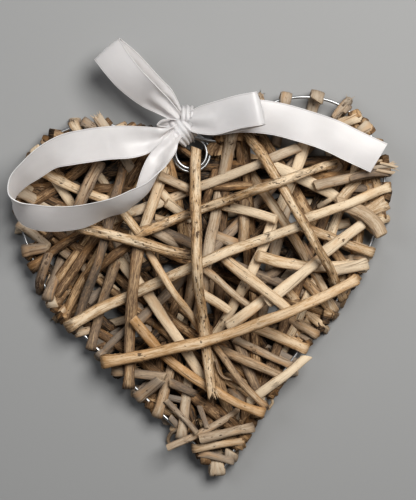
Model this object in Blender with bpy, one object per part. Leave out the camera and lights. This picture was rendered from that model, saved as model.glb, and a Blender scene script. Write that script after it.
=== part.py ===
"""A wicker heart: split willow twigs woven over a wire heart, with a satin ribbon tied on its wire eye.

The heart lies on its back. +Z is up, off its front, and +Y runs from its tip to its cleft. The origin is
on the flat underside of the back twig that crosses the middle of the heart.
"""

import math

import bpy
import numpy as np
from mathutils import Matrix, Vector

# Driving sizes, in metres
heart_width = 0.1692
thick_twig_width = 0.0054
medium_twig_width = 0.0047
thin_twig_width = 0.0036
twig_flatness = 0.66
twig_taper = 0.14
wire_diameter = 0.0014
eye_outer_diameter = 0.0184
eye_inner_share = 0.83
eye_exit_rise = 0.0006
ribbon_width = 0.0150
ribbon_thickness = 0.0005
knot_length = 0.0126
knot_width = 0.0088
knot_height = 0.0080
knot_to_eye = 0.0043
strap_width = 0.0054
strap_gap = 0.0008
strap_corner = 0.6
strap_lean = 0.2
touch_gap = 0.0003
ribbon_lift = 0.0006
lift_unit = 0.0010

# How springy a twig is, and how it settles on the pile: rounds of sinking, each a little less deep
twig_spring = 0.035
settle_rounds = 240
settle_drop = 0.00035
seat_fullness = 1.16

# The layout sheet: a square grid laid over the heart, columns to the right and rows downwards
heart_columns = 376
middle_square = (207, 284)
lean = math.radians(4.5)
square = heart_width / heart_columns
twig_widths = {"thick": thick_twig_width, "medium": medium_twig_width, "thin": thin_twig_width}

# The eye's turning: where its wire starts, how far it overruns, and where the second turn is drawn in
eye_turns = 2
eye_start = math.radians(106)
eye_overrun = math.radians(24)
eye_draw_in = (math.radians(200), math.radians(400))
eye_leaving_turn = 0.3
turn_clearance = 1.2
exit_steps = 6

# How far to each side the ribbon feels for what it rests on, as a share of its width
seat_reach = 0.62

# Facets
twig_sides = 8
twig_pitch = 0.0105
sample_pitch = 0.0020
wire_sides = 6
wire_pitch = 0.0062
eye_step = math.radians(20)
ribbon_step = 0.0045
strap_step = 0.0012
curve_steps = 10
spots_per_station = 6
knot_segments = 16
knot_rings = 10

# The back twigs, deepest first: from square, to square, sideways bow in squares, grade
back_twigs = [
    ((13, 228), (392, 198), 0, "thick"),
    ((46, 302), (368, 266), 0, "thick"),
    ((130, 394), (298, 372), 0, "thick"),
    ((72, 117), (168, 426), 6, "thick"),
    ((320, 90), (232, 458), -5, "thick"),
    ((136, 127), (266, 414), 4, "medium"),
    ((350, 102), (96, 360), 5, "medium"),
    ((26, 160), (344, 310), -6, "medium"),
]

# The front twigs, deepest first, in the order they are laid
front_twigs = [
    ((31, 146), (102, 248), 0, "medium"),
    ((44, 172), (110, 201), -2, "medium"),
    ((98, 163), (44, 306), -3, "thick"),
    ((20, 274), (86, 228), 0, "medium"),
    ((195, 266), (153, 428), 3, "thick"),
    ((231, 136), (181, 434), -3, "thick"),
    ((306, 143), (216, 337), 5, "thick"),
    ((249, 170), (331, 302), 3, "medium"),
    ((270, 164), (390, 240), 8, "thick"),
    ((338, 203), (370, 172), 0, "medium"),
    ((258, 257), (379, 262), -7, "thick"),
    ((298, 226), (384, 256), 0, "medium"),
    ((214, 349), (291, 380), 0, "medium"),
    ((236, 340), (301, 372), 0, "thin"),
    ((252, 326), (316, 354), 0, "thick"),
    ((282, 314), (328, 342), 0, "medium"),
    ((250, 404), (304, 360), 0, "medium"),
    ((211, 342), (274, 415), -3, "thin"),
    ((202, 268), (254, 309), 0, "thin"),
    ((202, 293), (229, 311), 0, "medium"),
    ((113, 254), (208, 389), 4, "thick"),
    ((115, 261), (88, 362), -3, "medium"),
    ((130, 244), (82, 280), 0, "medium"),
    ((100, 370), (164, 378), 0, "medium"),
    ((187, 452), (229, 462), 0, "thin"),
    ((184, 451), (245, 443), 0, "thin"),
    ((168, 449), (238, 412), -2, "thin"),
    ((190, 442), (252, 429), 0, "medium"),
    ((229, 325), (267, 298), 0, "thick"),
    ((267, 301), (321, 259), 0, "thick"),
    ((225, 258), (289, 311), 0, "thick"),
    ((226, 206), (276, 219), 0, "medium"),
    ((324, 253), (364, 223), 0, "thick"),
    ((302, 220), (397, 185), 0, "medium"),
    ((316, 185), (396, 169), 0, "medium"),
    ((126, 213), (260, 163), -1, "medium"),
    ((166, 163), (142, 231), 0, "thick"),
    ((159, 176), (189, 188), 0, "medium"),
    ((124, 157), (69, 338), 5, "medium"),
    ((67, 327), (301, 225), 5, "thick"),
    ((148, 251), (200, 332), 0, "thin"),
    ((139, 247), (128, 398), -3, "thick"),
    ((133, 319), (266, 414), -14, "medium"),
    ((246, 131), (339, 287), 2, "medium"),
    ((131, 235), (347, 159), 1, "medium"),
    ((80, 226), (197, 256), -2, "thick"),
    ((196, 148), (212, 392), -6, "thick"),
    ((91, 364), (366, 274), -14, "thick"),
]

# The wire heart, clockwise from the right of its eye to the left of it
heart_outline = [
    (222, 139), (243, 118), (270, 102), (305, 95), (341, 103), (371, 131), (385, 163), (386, 196),
    (377, 234), (357, 274), (330, 313), (298, 355), (268, 398), (240, 443), (219, 473), (194, 446),
    (160, 415), (126, 381), (88, 342), (54, 306), (29, 256), (18, 214), (23, 175), (42, 143),
    (70, 126), (100, 122), (132, 129), (160, 135),
]
eye_square = (191, 152)
knot_square = (183, 123)
knot_turn = math.radians(12)

# The ribbon's runs: square of the middle, lift above its seat in lift units, the way its width points in
# the sheet and its tilt up from the sheet in degrees, and the share of its width that is not gathered
hanging_loop = [
    (180, 127, 0, 90, 0, 0.30),
    (163, 136, 2, 72, 0, 0.50),
    (149, 140, 4, 90, 0, 0.78),
    (131, 142, 6, 94, 0, 0.96),
    (108, 143, 7, 90, 0, 1.00),
    (86, 146, 7, 97, 5, 1.00),
    (66, 150, 7, 105, 24, 1.00),
    (48, 157, 7, 120, 44, 1.00),
    (31, 170, 7, 132, 52, 1.00),
    (18, 182, 7, 148, 60, 1.00),
    (12, 196, 7, 150, 80, 1.00),
    (16, 206, 7, 40, 72, 1.00),
    (29, 215, 7, 58, 45, 1.00),
    (51, 219, 7, 75, 40, 1.00),
    (80, 217, 7, 90, 48, 1.00),
    (105, 209, 8, 108, 58, 1.00),
    (127, 200, 8, 132, 66, 1.00),
    (142, 190, 8, 172, 62, 1.00),
    (151, 177, 8, 190, 52, 0.96),
    (158, 164, 7, 182, 42, 0.84),
    (165, 152, 5, 175, 25, 0.68),
    (172, 142, 2, 150, 10, 0.46),
    (181, 130, 0, 120, 0, 0.30),
]
small_loop = [
    (181, 118, 0, 45, 25, 0.30),
    (167, 101, -1, 48, 38, 0.70),
    (149, 86, -2, 46, 38, 1.00),
    (130, 66, -2, 45, 36, 1.00),
    (114, 53, -1, 41, 24, 1.00),
    (107, 49, 2, 39, 18, 1.00),
    (111, 55, 5, 38, 20, 1.00),
    (118, 65, 7, 41, 27, 1.00),
    (131, 80, 8, 45, 35, 1.00),
    (148, 95, 7, 53, 42, 1.00),
    (165, 107, 4, 62, 35, 0.66),
    (181, 120, 0, 70, 15, 0.30),
]
right_loop = [
    (185, 121, 1, 90, 0, 0.45),
    (200, 120, 4, 90, 0, 0.78),
    (216, 118, 8, 92, 0, 1.00),
    (238, 112, 15, 95, 0, 1.00),
    (255, 109, 19, 101, 0, 1.00),
    (261, 108, 17, 102, 0, 1.00),
    (256, 110, 15, 101, 0, 1.00),
    (238, 115, 10, 96, 0, 1.00),
    (216, 120, 4, 92, 0, 0.94),
    (200, 122, 1, 90, 0, 0.70),
    (185, 123, -1, 90, 0, 0.45),
]
tail_run = [
    (184, 124, -2, 90, 0, 0.40),
    (204, 122, 0, 88, 0, 0.70),
    (226, 117, 1, 92, 0, 0.92),
    (252, 114, 1, 86, 0, 1.00),
    (277, 117, 1, 72, 0, 1.00),
    (303, 125, 2, 68, 0, 1.00),
    (330, 135, 3, 66, -3, 1.00),
    (355, 147, 3, 63, -4, 1.00),
    (379, 158, 2, 59, 0, 1.00),
]


def place(column, row):
    """A square of the layout sheet as a point in metres, with the sheet turned so that the heart is upright."""
    across = (column - middle_square[0]) * square
    up = (middle_square[1] - row) * square
    return np.array([across * math.cos(lean) + up * math.sin(lean),
                     up * math.cos(lean) - across * math.sin(lean)])


def material(name, colour, roughness, metallic=0.0):
    """A plain Principled material."""
    finish = bpy.data.materials.new(name)
    finish.use_nodes = True
    shader = finish.node_tree.nodes["Principled BSDF"]
    shader.inputs["Base Color"].default_value = (*colour, 1.0)
    shader.inputs["Roughness"].default_value = roughness
    shader.inputs["Metallic"].default_value = metallic
    return finish


def make_object(name, points, faces, finish, smooth_angle=40):
    """An object from points and faces, shaded smooth where its faces meet at less than the angle."""
    mesh = bpy.data.meshes.new(name)
    mesh.from_pydata([tuple(point) for point in points], [], faces)
    mesh.validate()
    mesh.shade_smooth()
    mesh.set_sharp_from_angle(angle=math.radians(smooth_angle))
    mesh.materials.append(finish)
    made = bpy.data.objects.new(name, mesh)
    bpy.context.scene.collection.objects.link(made)
    return made


def smooth_step(share):
    """0 below 0, 1 above 1 and an easy rise between."""
    share = np.clip(share, 0, 1)
    return share * share * (3 - 2 * share)


def smooth_curve(knots, steps, closed=False):
    """Points along a Catmull-Rom curve through the knots, with as many steps in each span as steps says."""
    knots = np.asarray(knots, float)
    count = len(knots)
    spans = count if closed else count - 1
    out = []
    for span in range(spans):
        if closed:
            before, start, end, after = (knots[(span + shift) % count] for shift in (-1, 0, 1, 2))
        else:
            start, end = knots[span], knots[span + 1]
            before = knots[span - 1] if span else 2 * start - end
            after = knots[span + 2] if span + 2 < count else 2 * end - start
        for t in np.arange(steps) / steps:
            out.append(0.5 * (2 * start + (end - before) * t
                              + (2 * before - 5 * start + 4 * end - after) * t ** 2
                              + (3 * start - before - 3 * end + after) * t ** 3))
    if not closed:
        out.append(knots[-1])
    return np.array(out)


def resample(points, pitch, closed=False):
    """The same path with its points spread evenly, about one pitch apart."""
    path = np.vstack([points, points[:1]]) if closed else np.asarray(points)
    lengths = np.linalg.norm(np.diff(path, axis=0), axis=1)
    along = np.concatenate([[0], np.cumsum(lengths)])
    count = max(4, round(along[-1] / pitch) + 1)
    spots = np.linspace(0, along[-1], count)
    even = np.column_stack([np.interp(spots, along, path[:, axis]) for axis in range(path.shape[1])])
    return even[:-1] if closed else even


class Pile:
    """The rods laid so far, as samples along their middles, that the next rod has to clear."""

    def __init__(self):
        self.spots = np.empty((0, 3))
        self.halves = np.empty((0, 2))

    def add(self, points, half_width, half_thickness):
        dense = resample(points, sample_pitch)
        self.spots = np.vstack([self.spots, dense])
        self.halves = np.vstack([self.halves, np.tile([half_width, half_thickness], (len(dense), 1))])

    def seat(self, spots, half_width, half_thickness):
        """How high the middle of a rod has to run above each spot, to clear what lies there and the ground."""
        gaps = np.linalg.norm(spots[:, None, :2] - self.spots[None, :, :2], axis=2)
        reach = half_width + self.halves[:, 0] + touch_gap
        stack = half_thickness + self.halves[:, 1]
        rise = stack * np.sqrt(np.clip(seat_fullness * (1 - (gaps / reach) ** 2), 0, 1)) + touch_gap
        need = np.where(gaps < reach, self.spots[:, 2] + rise, half_thickness)
        return np.maximum(need.max(axis=1, initial=half_thickness), half_thickness)

    def top(self, spots, reach):
        """The highest rod within reach of any of the spots."""
        gaps = np.linalg.norm(spots[:, None, :2] - self.spots[None, :, :2], axis=2)
        near = (gaps < reach).any(axis=0)
        return (self.spots[near, 2] + self.halves[near, 1]).max(initial=0)


def lay_rod(pile, flat, half_width, half_thickness):
    """Heights of a springy rod pressed down on the pile: it sags, straightens itself and is lifted clear."""
    stations = len(flat)
    dense = np.linspace(0, stations - 1, (stations - 1) * spots_per_station + 1)
    left = np.minimum(dense.astype(int), stations - 2)
    part = dense - left
    spots = flat[left] * (1 - part)[:, None] + flat[left + 1] * part[:, None]
    floor = pile.seat(spots, half_width, half_thickness)
    heights = np.full(stations, floor.max())
    for turn in range(settle_rounds):
        heights = heights - settle_drop * (1 - turn / settle_rounds)
        bend = heights[:-2] + heights[2:] - 2 * heights[1:-1]
        heights[1:-1] += twig_spring * bend
        heights[:-2] -= twig_spring * bend / 2
        heights[2:] -= twig_spring * bend / 2
        short = np.clip(floor - heights[left] * (1 - part) - heights[left + 1] * part, 0, None)
        lift = np.zeros(stations)
        np.maximum.at(lift, left, short)
        np.maximum.at(lift, left + 1, short)
        heights = heights + lift
    return heights


def twig_stations(start, end, bow):
    """The middle line of a twig in plan: a straight run with a sideways bow."""
    first, last = place(*start), place(*end)
    run = last - first
    length = math.hypot(*run)
    across = np.array([-run[1], run[0]]) / length
    steps = max(4, round(length / twig_pitch) + 1)
    t = np.linspace(0, 1, steps)[:, None]
    return first + run * t + across * bow * square * 4 * t * (1 - t)


def tube(points, half_width, half_thickness, sides, closed=False, taper=0):
    """Vertices and faces of a tube: flat faces on top and below, its width level, slimmer at its end."""
    points = np.asarray(points)
    count = len(points)
    slimness = (1 - taper * np.linspace(0, 1, count))[:, None, None]
    if closed:
        tangents = np.roll(points, -1, axis=0) - np.roll(points, 1, axis=0)
    else:
        tangents = np.gradient(points, axis=0)
    tangents /= np.linalg.norm(tangents, axis=1)[:, None]
    level = np.cross([0, 0, 1], tangents)
    level /= np.linalg.norm(level, axis=1)[:, None]
    upward = np.cross(tangents, level)
    turn = math.tau / sides
    angles = turn * (np.arange(sides) + 0.5) + math.pi / 2
    stretch = 1 / math.cos(turn / 2)
    widths = half_width * stretch * np.cos(angles)
    if sides % 4:
        widths = half_width * np.cos(angles) / np.abs(np.cos(angles)).max()
    rises = half_thickness * stretch * np.sin(angles)
    rings = points[:, None] + slimness * (level[:, None] * widths[None, :, None]
                                          + upward[:, None] * rises[None, :, None])
    faces = []
    for ring in range(count if closed else count - 1):
        after = (ring + 1) % count
        for side in range(sides):
            beside = (side + 1) % sides
            faces.append((ring * sides + side, ring * sides + beside,
                          after * sides + beside, after * sides + side))
    if not closed:
        faces.append(tuple(reversed(range(sides))))
        faces.append(tuple((count - 1) * sides + side for side in range(sides)))
    return rings.reshape(-1, 3), faces


def half_sizes(grade):
    width = twig_widths[grade]
    return width / 2, width / 2 * twig_flatness


def lay_twigs(pile, rows, label, finish, taper=0):
    """Lays the twigs of a list on the pile one after another, each as its own object."""
    for number, (start, end, bow, grade) in enumerate(rows, 1):
        half_width, half_thickness = half_sizes(grade)
        flat = twig_stations(start, end, bow)
        heights = lay_rod(pile, flat, half_width, half_thickness)
        points = np.column_stack([flat, heights])
        pile.add(points, half_width, half_thickness)
        shape = tube(points, half_width, half_thickness, twig_sides, taper=taper)
        make_object(f"{label}_{number:02d}", *shape, finish)


def wire_route(level):
    """The wire from the right of the eye round the heart, and through the two turns of the eye."""
    centre = place(*eye_square)
    outer = eye_outer_diameter / 2 - wire_diameter / 2
    rise = wire_diameter + touch_gap * turn_clearance
    swept = math.tau * eye_turns + eye_overrun
    steps = round(swept / eye_step)
    turned = np.linspace(0, swept, steps + 1)
    angle = eye_start + lean - turned
    inward = smooth_step((turned - eye_draw_in[0]) / (eye_draw_in[1] - eye_draw_in[0]))
    radius = outer * (1 - (1 - eye_inner_share) * inward)
    leaving = smooth_step((turned / math.tau - eye_turns) / eye_leaving_turn + 1)
    climb = rise * turned / math.tau + eye_exit_rise * leaving
    eye = np.column_stack([centre[0] + radius * np.cos(angle), centre[1] + radius * np.sin(angle),
                           level + climb])
    outline = np.array([place(*spot) for spot in heart_outline])
    run = smooth_curve(np.vstack([eye[-1:, :2], outline, eye[:1, :2]]), curve_steps)
    heart = resample(run, wire_pitch)[1:-1]
    drop = smooth_step(1 - np.arange(len(heart)) / exit_steps)
    heart = np.column_stack([heart, level + (eye[-1, 2] - level) * drop])
    return np.vstack([eye, heart])


def make_wire(pile, finish):
    """The wire heart with its eye, level, just clear of the back twigs."""
    half = wire_diameter / 2
    route = wire_route(0)
    level = pile.seat(resample(route, sample_pitch, closed=True), half, half).max()
    route[:, 2] += level
    pile.add(np.vstack([route, route[:1]]), half, half)
    make_object("wire_frame", *tube(route, half, half, wire_sides, closed=True), finish)
    return level, route[:, 2].max()


def ribbon_run(rows, seat, knot_centre, tied):
    """Middles and half-width vectors of one run's rows; the tied ones move with the knot."""
    rows = np.array(rows, float)
    middles = np.array([[*place(column, row), seat] for column, row in rows[:, :2]])
    middles[tied] += knot_centre - np.array([*place(*knot_square), seat])
    middles[:, 2] += rows[:, 2] * lift_unit
    way = np.radians(rows[:, 3]) - lean
    tilt = np.radians(rows[:, 4])
    halves = np.column_stack([np.cos(way) * np.cos(tilt), np.sin(way) * np.cos(tilt), np.sin(tilt)])
    return middles, halves * rows[:, 5:6] * ribbon_width / 2


def band(name, middles, halves, finish, step=ribbon_step):
    """One run of the ribbon as a thin closed band along a smooth curve."""
    even = resample(smooth_curve(np.column_stack([middles, halves]), curve_steps), step)
    middle, half = even[:, :3], even[:, 3:]
    along = np.gradient(middle, axis=0)
    normal = np.cross(along, half)
    normal /= np.linalg.norm(normal, axis=1)[:, None]
    skin = normal * ribbon_thickness / 2
    corners = np.stack([middle - half - skin, middle + half - skin, middle + half + skin,
                        middle - half + skin], axis=1)
    count = len(middle)
    faces = []
    for ring in range(count - 1):
        near, far = ring * 4, ring * 4 + 4
        faces += [(near + 1, far + 1, near), (far + 1, far, near), (near + 3, far + 3, far + 2),
                  (near + 3, far + 2, near + 2), (near + 2, far + 2, far + 1, near + 1),
                  (near, far, far + 3, near + 3)]
    faces.append((3, 2, 1, 0))
    faces.append(tuple(range((count - 1) * 4, count * 4)))
    return make_object(name, corners.reshape(-1, 3), faces, finish, smooth_angle=60)


def strap_run(eye_centre, outward, knot_centre, wire_level):
    """The ribbon's turn down through the eye, under both of its wires and up outside, into the knot."""
    inner = eye_outer_diameter / 2 * eye_inner_share - wire_diameter - strap_gap
    outer = eye_outer_diameter / 2 + strap_gap
    below = wire_level - wire_diameter / 2 - ribbon_lift - ribbon_thickness
    corner = below + wire_diameter * strap_corner
    waist = wire_level + wire_diameter
    knot_reach = np.linalg.norm(knot_centre[:2] - eye_centre)
    stops = [
        (knot_reach - knot_length / 3, knot_centre[2] - knot_height / 6),
        (inner - wire_diameter * strap_lean, knot_centre[2] - knot_height / 2),
        (inner - wire_diameter, waist),
        (inner, corner),
        ((inner + outer) / 2, below),
        (outer, corner),
        (outer + wire_diameter, waist),
        (knot_reach, knot_centre[2]),
    ]
    middles = np.array([[*(eye_centre + outward * reach), height] for reach, height in stops])
    across = np.array([-outward[1], outward[0], 0]) * strap_width / 2
    return middles, np.tile(across, (len(stops), 1))


def make_ribbon(pile, wire_level, wire_top, finish):
    """The ribbon as one solid: the knot with its runs joined on."""
    eye_centre = place(*eye_square)
    outward = place(*knot_square) - eye_centre
    outward /= np.linalg.norm(outward)
    knot_level = wire_top + wire_diameter / 2 + ribbon_lift + knot_height / 2
    knot_spot = eye_centre + outward * (eye_outer_diameter / 2 + knot_to_eye)
    knot_centre = np.array([*knot_spot, knot_level])
    bpy.ops.mesh.primitive_uv_sphere_add(segments=knot_segments, ring_count=knot_rings, radius=0.5)
    knot = bpy.context.object
    knot.name = "ribbon"
    knot.data.transform(Matrix.Translation(Vector(knot_centre)) @ Matrix.Rotation(knot_turn - lean, 4, "Z")
                        @ Matrix.Diagonal((knot_width, knot_length, knot_height, 1)))
    knot.data.materials.append(finish)
    knot.data.shade_smooth()

    def seat_of(rows):
        spots = smooth_curve([place(column, row) for column, row in np.array(rows)[1:-1, :2]], curve_steps)
        return pile.top(spots, ribbon_width * seat_reach) + ribbon_lift + ribbon_thickness

    loop_seat, tail_seat = seat_of(hanging_loop), seat_of(tail_run)
    runs = [
        band("hanging_loop_run", *ribbon_run(hanging_loop, loop_seat, knot_centre, [0, -1]), finish),
        band("small_loop_run", *ribbon_run(small_loop, knot_level, knot_centre, [0, -1]), finish),
        band("right_loop_run", *ribbon_run(right_loop, knot_level, knot_centre, [0, -1]), finish),
        band("tail_run", *ribbon_run(tail_run, tail_seat, knot_centre, [0]), finish),
        band("strap_run", *strap_run(eye_centre, outward, knot_centre, wire_level), finish, strap_step),
    ]
    for run in runs:
        run.hide_render = True
        run.display_type = "WIRE"
        join = knot.modifiers.new(run.name, "BOOLEAN")
        join.operation = "UNION"
        join.solver = "EXACT"
        join.use_self = True
        join.object = run


for old in list(bpy.data.objects):
    bpy.data.objects.remove(old)

willow = material("willow", (0.42, 0.27, 0.15), 0.72)
dark_willow = material("back willow", (0.30, 0.19, 0.11), 0.78)
zinc_wire = material("zinc wire", (0.52, 0.53, 0.53), 0.38, 1.0)
satin = material("white satin", (0.80, 0.78, 0.78), 0.42)

twig_pile = Pile()
lay_twigs(twig_pile, back_twigs, "back_twig", dark_willow)
frame_level, frame_top = make_wire(twig_pile, zinc_wire)
lay_twigs(twig_pile, front_twigs, "front_twig", willow, twig_taper)
make_ribbon(twig_pile, frame_level, frame_top, satin)
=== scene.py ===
import math

import bpy
import numpy as np
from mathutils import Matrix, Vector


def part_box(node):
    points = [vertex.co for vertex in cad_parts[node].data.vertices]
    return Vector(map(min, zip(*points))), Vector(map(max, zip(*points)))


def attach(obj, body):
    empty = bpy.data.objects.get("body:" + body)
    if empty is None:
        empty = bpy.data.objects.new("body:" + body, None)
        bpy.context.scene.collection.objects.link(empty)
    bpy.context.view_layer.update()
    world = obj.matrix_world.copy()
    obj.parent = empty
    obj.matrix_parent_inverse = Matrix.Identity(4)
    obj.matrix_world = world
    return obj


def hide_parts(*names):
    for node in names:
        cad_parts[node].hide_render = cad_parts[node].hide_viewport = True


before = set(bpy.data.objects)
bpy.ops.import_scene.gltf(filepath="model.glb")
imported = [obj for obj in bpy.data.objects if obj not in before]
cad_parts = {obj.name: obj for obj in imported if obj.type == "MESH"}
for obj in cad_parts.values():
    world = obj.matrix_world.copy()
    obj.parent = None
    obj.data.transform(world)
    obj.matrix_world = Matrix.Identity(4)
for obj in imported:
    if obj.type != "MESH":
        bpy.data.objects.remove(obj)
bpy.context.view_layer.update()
rootBody = "root"

# The layout sheet of the weave: squares to the right and downwards, turned by the lean
sheet = {"square": 0.00045, "middle": (207, 284), "lean": math.radians(4.5)}

# The stage: its floor and sky, how low a piece may reach, and the camera, which frames the level of the weave
stageLook = {
    "floor": (0.36, 0.365, 0.368, 1), "floorRoughness": 0.6, "size": 3.0, "lowest": 0.0001,
    "skyStrength": 0.04, "skyColour": (0.92, 0.95, 1.0, 1), "distance": 0.9, "planeLevel": 0.02,
    "fieldHeight": 500 * sheet["square"], "imageCentre": (208, 250), "sensorWidth": 36, "clipStart": 0.01,
    "transform": "Standard", "contrast": "Medium High Contrast",
}

# Each light's place, size, power and colour
lights = {
    "window": ((0.33, 0.34, 0.84), 0.55, 8.0, (1.0, 0.98, 0.95)),
    "bounce": ((-0.55, 0.30, 0.70), 0.5, 1.2, (0.97, 0.98, 1.0)),
}

# Edges that turn by more than this are shown sharp
sharpAngle = math.radians(48)


def place(squares):
    # steps across and up from the middle square, turned by the lean, in metres
    squares = np.asarray(squares, float)
    across = (squares[..., 0] - sheet["middle"][0]) * sheet["square"]
    up = (sheet["middle"][1] - squares[..., 1]) * sheet["square"]
    cosine, sine = math.cos(sheet["lean"]), math.sin(sheet["lean"])
    return np.stack([across * cosine + up * sine, up * cosine - across * sine], axis=-1)


def smoothCurve(knots, steps):
    # each span is a cubic of the share along it, through its two knots; the slope at a knot is half the
    # step from the knot before it to the knot after it
    knots = np.asarray(knots, float)
    ring = np.vstack([2 * knots[:1] - knots[1:2], knots, 2 * knots[-1:] - knots[-2:-1]])
    spans = len(ring) - 3
    before, start, end, after = (ring[shift:shift + spans][:, None] for shift in range(4))
    t = (np.arange(steps) / steps)[None, :, None]
    curve = 0.5 * (2 * start + (end - before) * t + (2 * before - 5 * start + 4 * end - after) * t ** 2
                   + (3 * start - before - 3 * end + after) * t ** 3)
    return np.vstack([curve.reshape(-1, knots.shape[1]), knots[-1:]])


def lengthsAlong(points):
    steps = np.linalg.norm(np.diff(points[:, :3], axis=0), axis=1)
    return np.concatenate([[0], np.cumsum(steps)])


def resample(points, pitch, closed=False):
    # the same path, with its points spread evenly by length
    path = np.vstack([points, points[:1]]) if closed else np.asarray(points)
    along = lengthsAlong(path)
    count = max(4, round(along[-1] / pitch) + 1)
    spots = np.linspace(0, along[-1], count)
    even = np.column_stack([np.interp(spots, along, path[:, axis]) for axis in range(path.shape[1])])
    return even[:-1] if closed else even


def unit(vectors):
    return vectors / np.maximum(np.linalg.norm(vectors, axis=-1, keepdims=True), 1e-12)


def smoothStep(share):
    share = np.clip(share, 0, 1)
    return share * share * (3 - 2 * share)


def wander(rng, along, wavelength):
    # slow random waves along a length: three sines of near wavelengths with random phases
    phases = rng.uniform(0, math.tau, 3)
    scales = np.array([1, 1.7, 2.9])
    return (np.sin(along[..., None] * math.tau * scales / wavelength + phases) / scales).sum(axis=-1) / 1.4


# Shader maths: a socket that can be added, multiplied and so on
class Signal:
    def __init__(self, shader, socket):
        self.shader = shader
        self.socket = socket

    def maths(self, operation, first, second):
        return self.shader.node("ShaderNodeMath", {"operation": operation}, {0: first, 1: second})

    def __add__(self, other):
        return self.maths("ADD", self, other)

    def __sub__(self, other):
        return self.maths("SUBTRACT", self, other)

    def __rsub__(self, other):
        return self.maths("SUBTRACT", other, self)

    def __mul__(self, other):
        return self.maths("MULTIPLY", self, other)

    __radd__ = __add__
    __rmul__ = __mul__

    def between(self, low, high):
        # 0 below low, 1 above high, smooth between
        return self.shader.node("ShaderNodeMapRange", {"interpolation_type": "SMOOTHSTEP"},
                                {"Value": self, "From Min": low, "From Max": high})


class Shader:
    def __init__(self, name, **constants):
        self.material = bpy.data.materials.new(name)
        self.material.use_nodes = True
        self.tree = self.material.node_tree
        self.surface = self.tree.nodes["Principled BSDF"]
        for socket, value in constants.items():
            self.surface.inputs[socket.replace("_", " ")].default_value = value

    def feed(self, socket, value):
        if isinstance(value, Signal):
            self.tree.links.new(value.socket, socket)
        else:
            socket.default_value = value

    def node(self, kind, settings=None, values=None, output=0):
        made = self.tree.nodes.new(kind)
        for setting, value in (settings or {}).items():
            setattr(made, setting, value)
        for socket, value in (values or {}).items():
            self.feed(made.inputs[socket], value)
        return Signal(self, made.outputs[output])

    def attribute(self, name):
        return self.node("ShaderNodeAttribute", {"attribute_name": name}, output="Fac")

    def stretched(self, coordinates, scale, offset=0.0):
        # coordinates times a scale for each axis, shifted by a number that differs from rod to rod
        shifted = self.node("ShaderNodeCombineXYZ", values={0: offset, 1: offset, 2: offset})
        return self.node("ShaderNodeVectorMath", {"operation": "MULTIPLY_ADD"},
                         {0: coordinates, 1: scale, 2: shifted})

    def noise(self, coordinates, detail=3.0, roughness=0.55):
        return self.node("ShaderNodeTexNoise", values={"Vector": coordinates, "Scale": 1.0,
                                                       "Detail": detail, "Roughness": roughness})

    def mix(self, factor, first, second):
        return self.node("ShaderNodeMix", {"data_type": "RGBA"},
                         {"Factor": factor, 6: first, 7: second}, output=2)

    def bump(self, look, height):
        return self.node("ShaderNodeBump", values={"Strength": look["bumpStrength"],
                                                   "Distance": look["bumpDepth"], "Height": height})

    def finish(self, **links):
        for socket, value in links.items():
            self.feed(self.surface.inputs[socket.replace("_", " ")], value)
        return self.material


# Willow: its colours, where deep is a near-black painted shade that the lowest twigs keep; each noise's size
# on the grain, shift, detail and roughness; and the layers over the deep colour, by what each follows, the
# values it fades in between, its share and its colour
willowLook = {
    "pale": (0.86, 0.71, 0.52, 1), "tan": (0.52, 0.35, 0.195, 1), "brown": (0.17, 0.10, 0.052, 1),
    "grey": (0.36, 0.31, 0.26, 1), "orange": (0.62, 0.33, 0.12, 1), "bark": (0.060, 0.034, 0.020, 1),
    "cut": (0.72, 0.56, 0.38, 1), "deep": (0.018, 0.012, 0.009, 1), "cutShare": 0.8,
    "noises": {
        "streaks": ((90, 1600, 1), 0.0, 3.0, 0.55), "blotches": ((70, 280, 1), 7.0, 4.0, 0.65),
        "rust": ((55, 240, 1), 67.0, 3.0, 0.6), "fibres": ((420, 2300, 1), 53.0, 2.0, 0.7),
        "flecks": ((430, 1000, 1), 13.0, 2.0, 0.55), "skin": ((150, 600, 1), 29.0, 5.0, 0.68),
        "cracks": ((34, 1150, 1), 41.0, 2.0, 0.55),
    },
    "layers": [
        ("lightness", -2.2, -0.9, 1.0, "brown"), ("lightness", -0.9, 0.1, 1.0, "tan"),
        ("lightness", -0.1, 1.0, 1.0, "pale"), ("fibres", 0.48, 0.72, 0.4, "tan"),
        ("coldness", 0.0, 1.2, 0.7, "grey"), ("warmth", 0.0, 1.2, 0.6, "orange"),
        ("rust", 0.5, 0.72, 0.38, "orange"), ("skin", 0.66, 0.86, 0.5, "bark"),
        ("flecks", 0.71, 0.79, 0.8, "bark"), ("cracks", 0.62, 0.74, 0.7, "brown"),
    ],
    "barkWeights": {"skin": 0.34, "flecks": 0.24, "cracks": 0.03},
    # paintedTopLightWeight: how much paler each twig's upward-facing top is painted and how much darker its
    # sides, as painted light and shade
    "blotchWeight": 2.0, "barkWeight": 3.0, "streakWeight": 2.3, "fibreWeight": 2.2, "paintedTopLightWeight": 0.9,
    "relief": {"streaks": 0.7, "fibres": 0.7, "blotches": 0.5},
    "layerRelief": {"flecks": -0.4, "cracks": -0.6, "skin": 0.3},
    "bumpStrength": 0.7, "bumpDepth": 0.0003, "roughness": 0.58, "rougher": 0.2,
}


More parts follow.
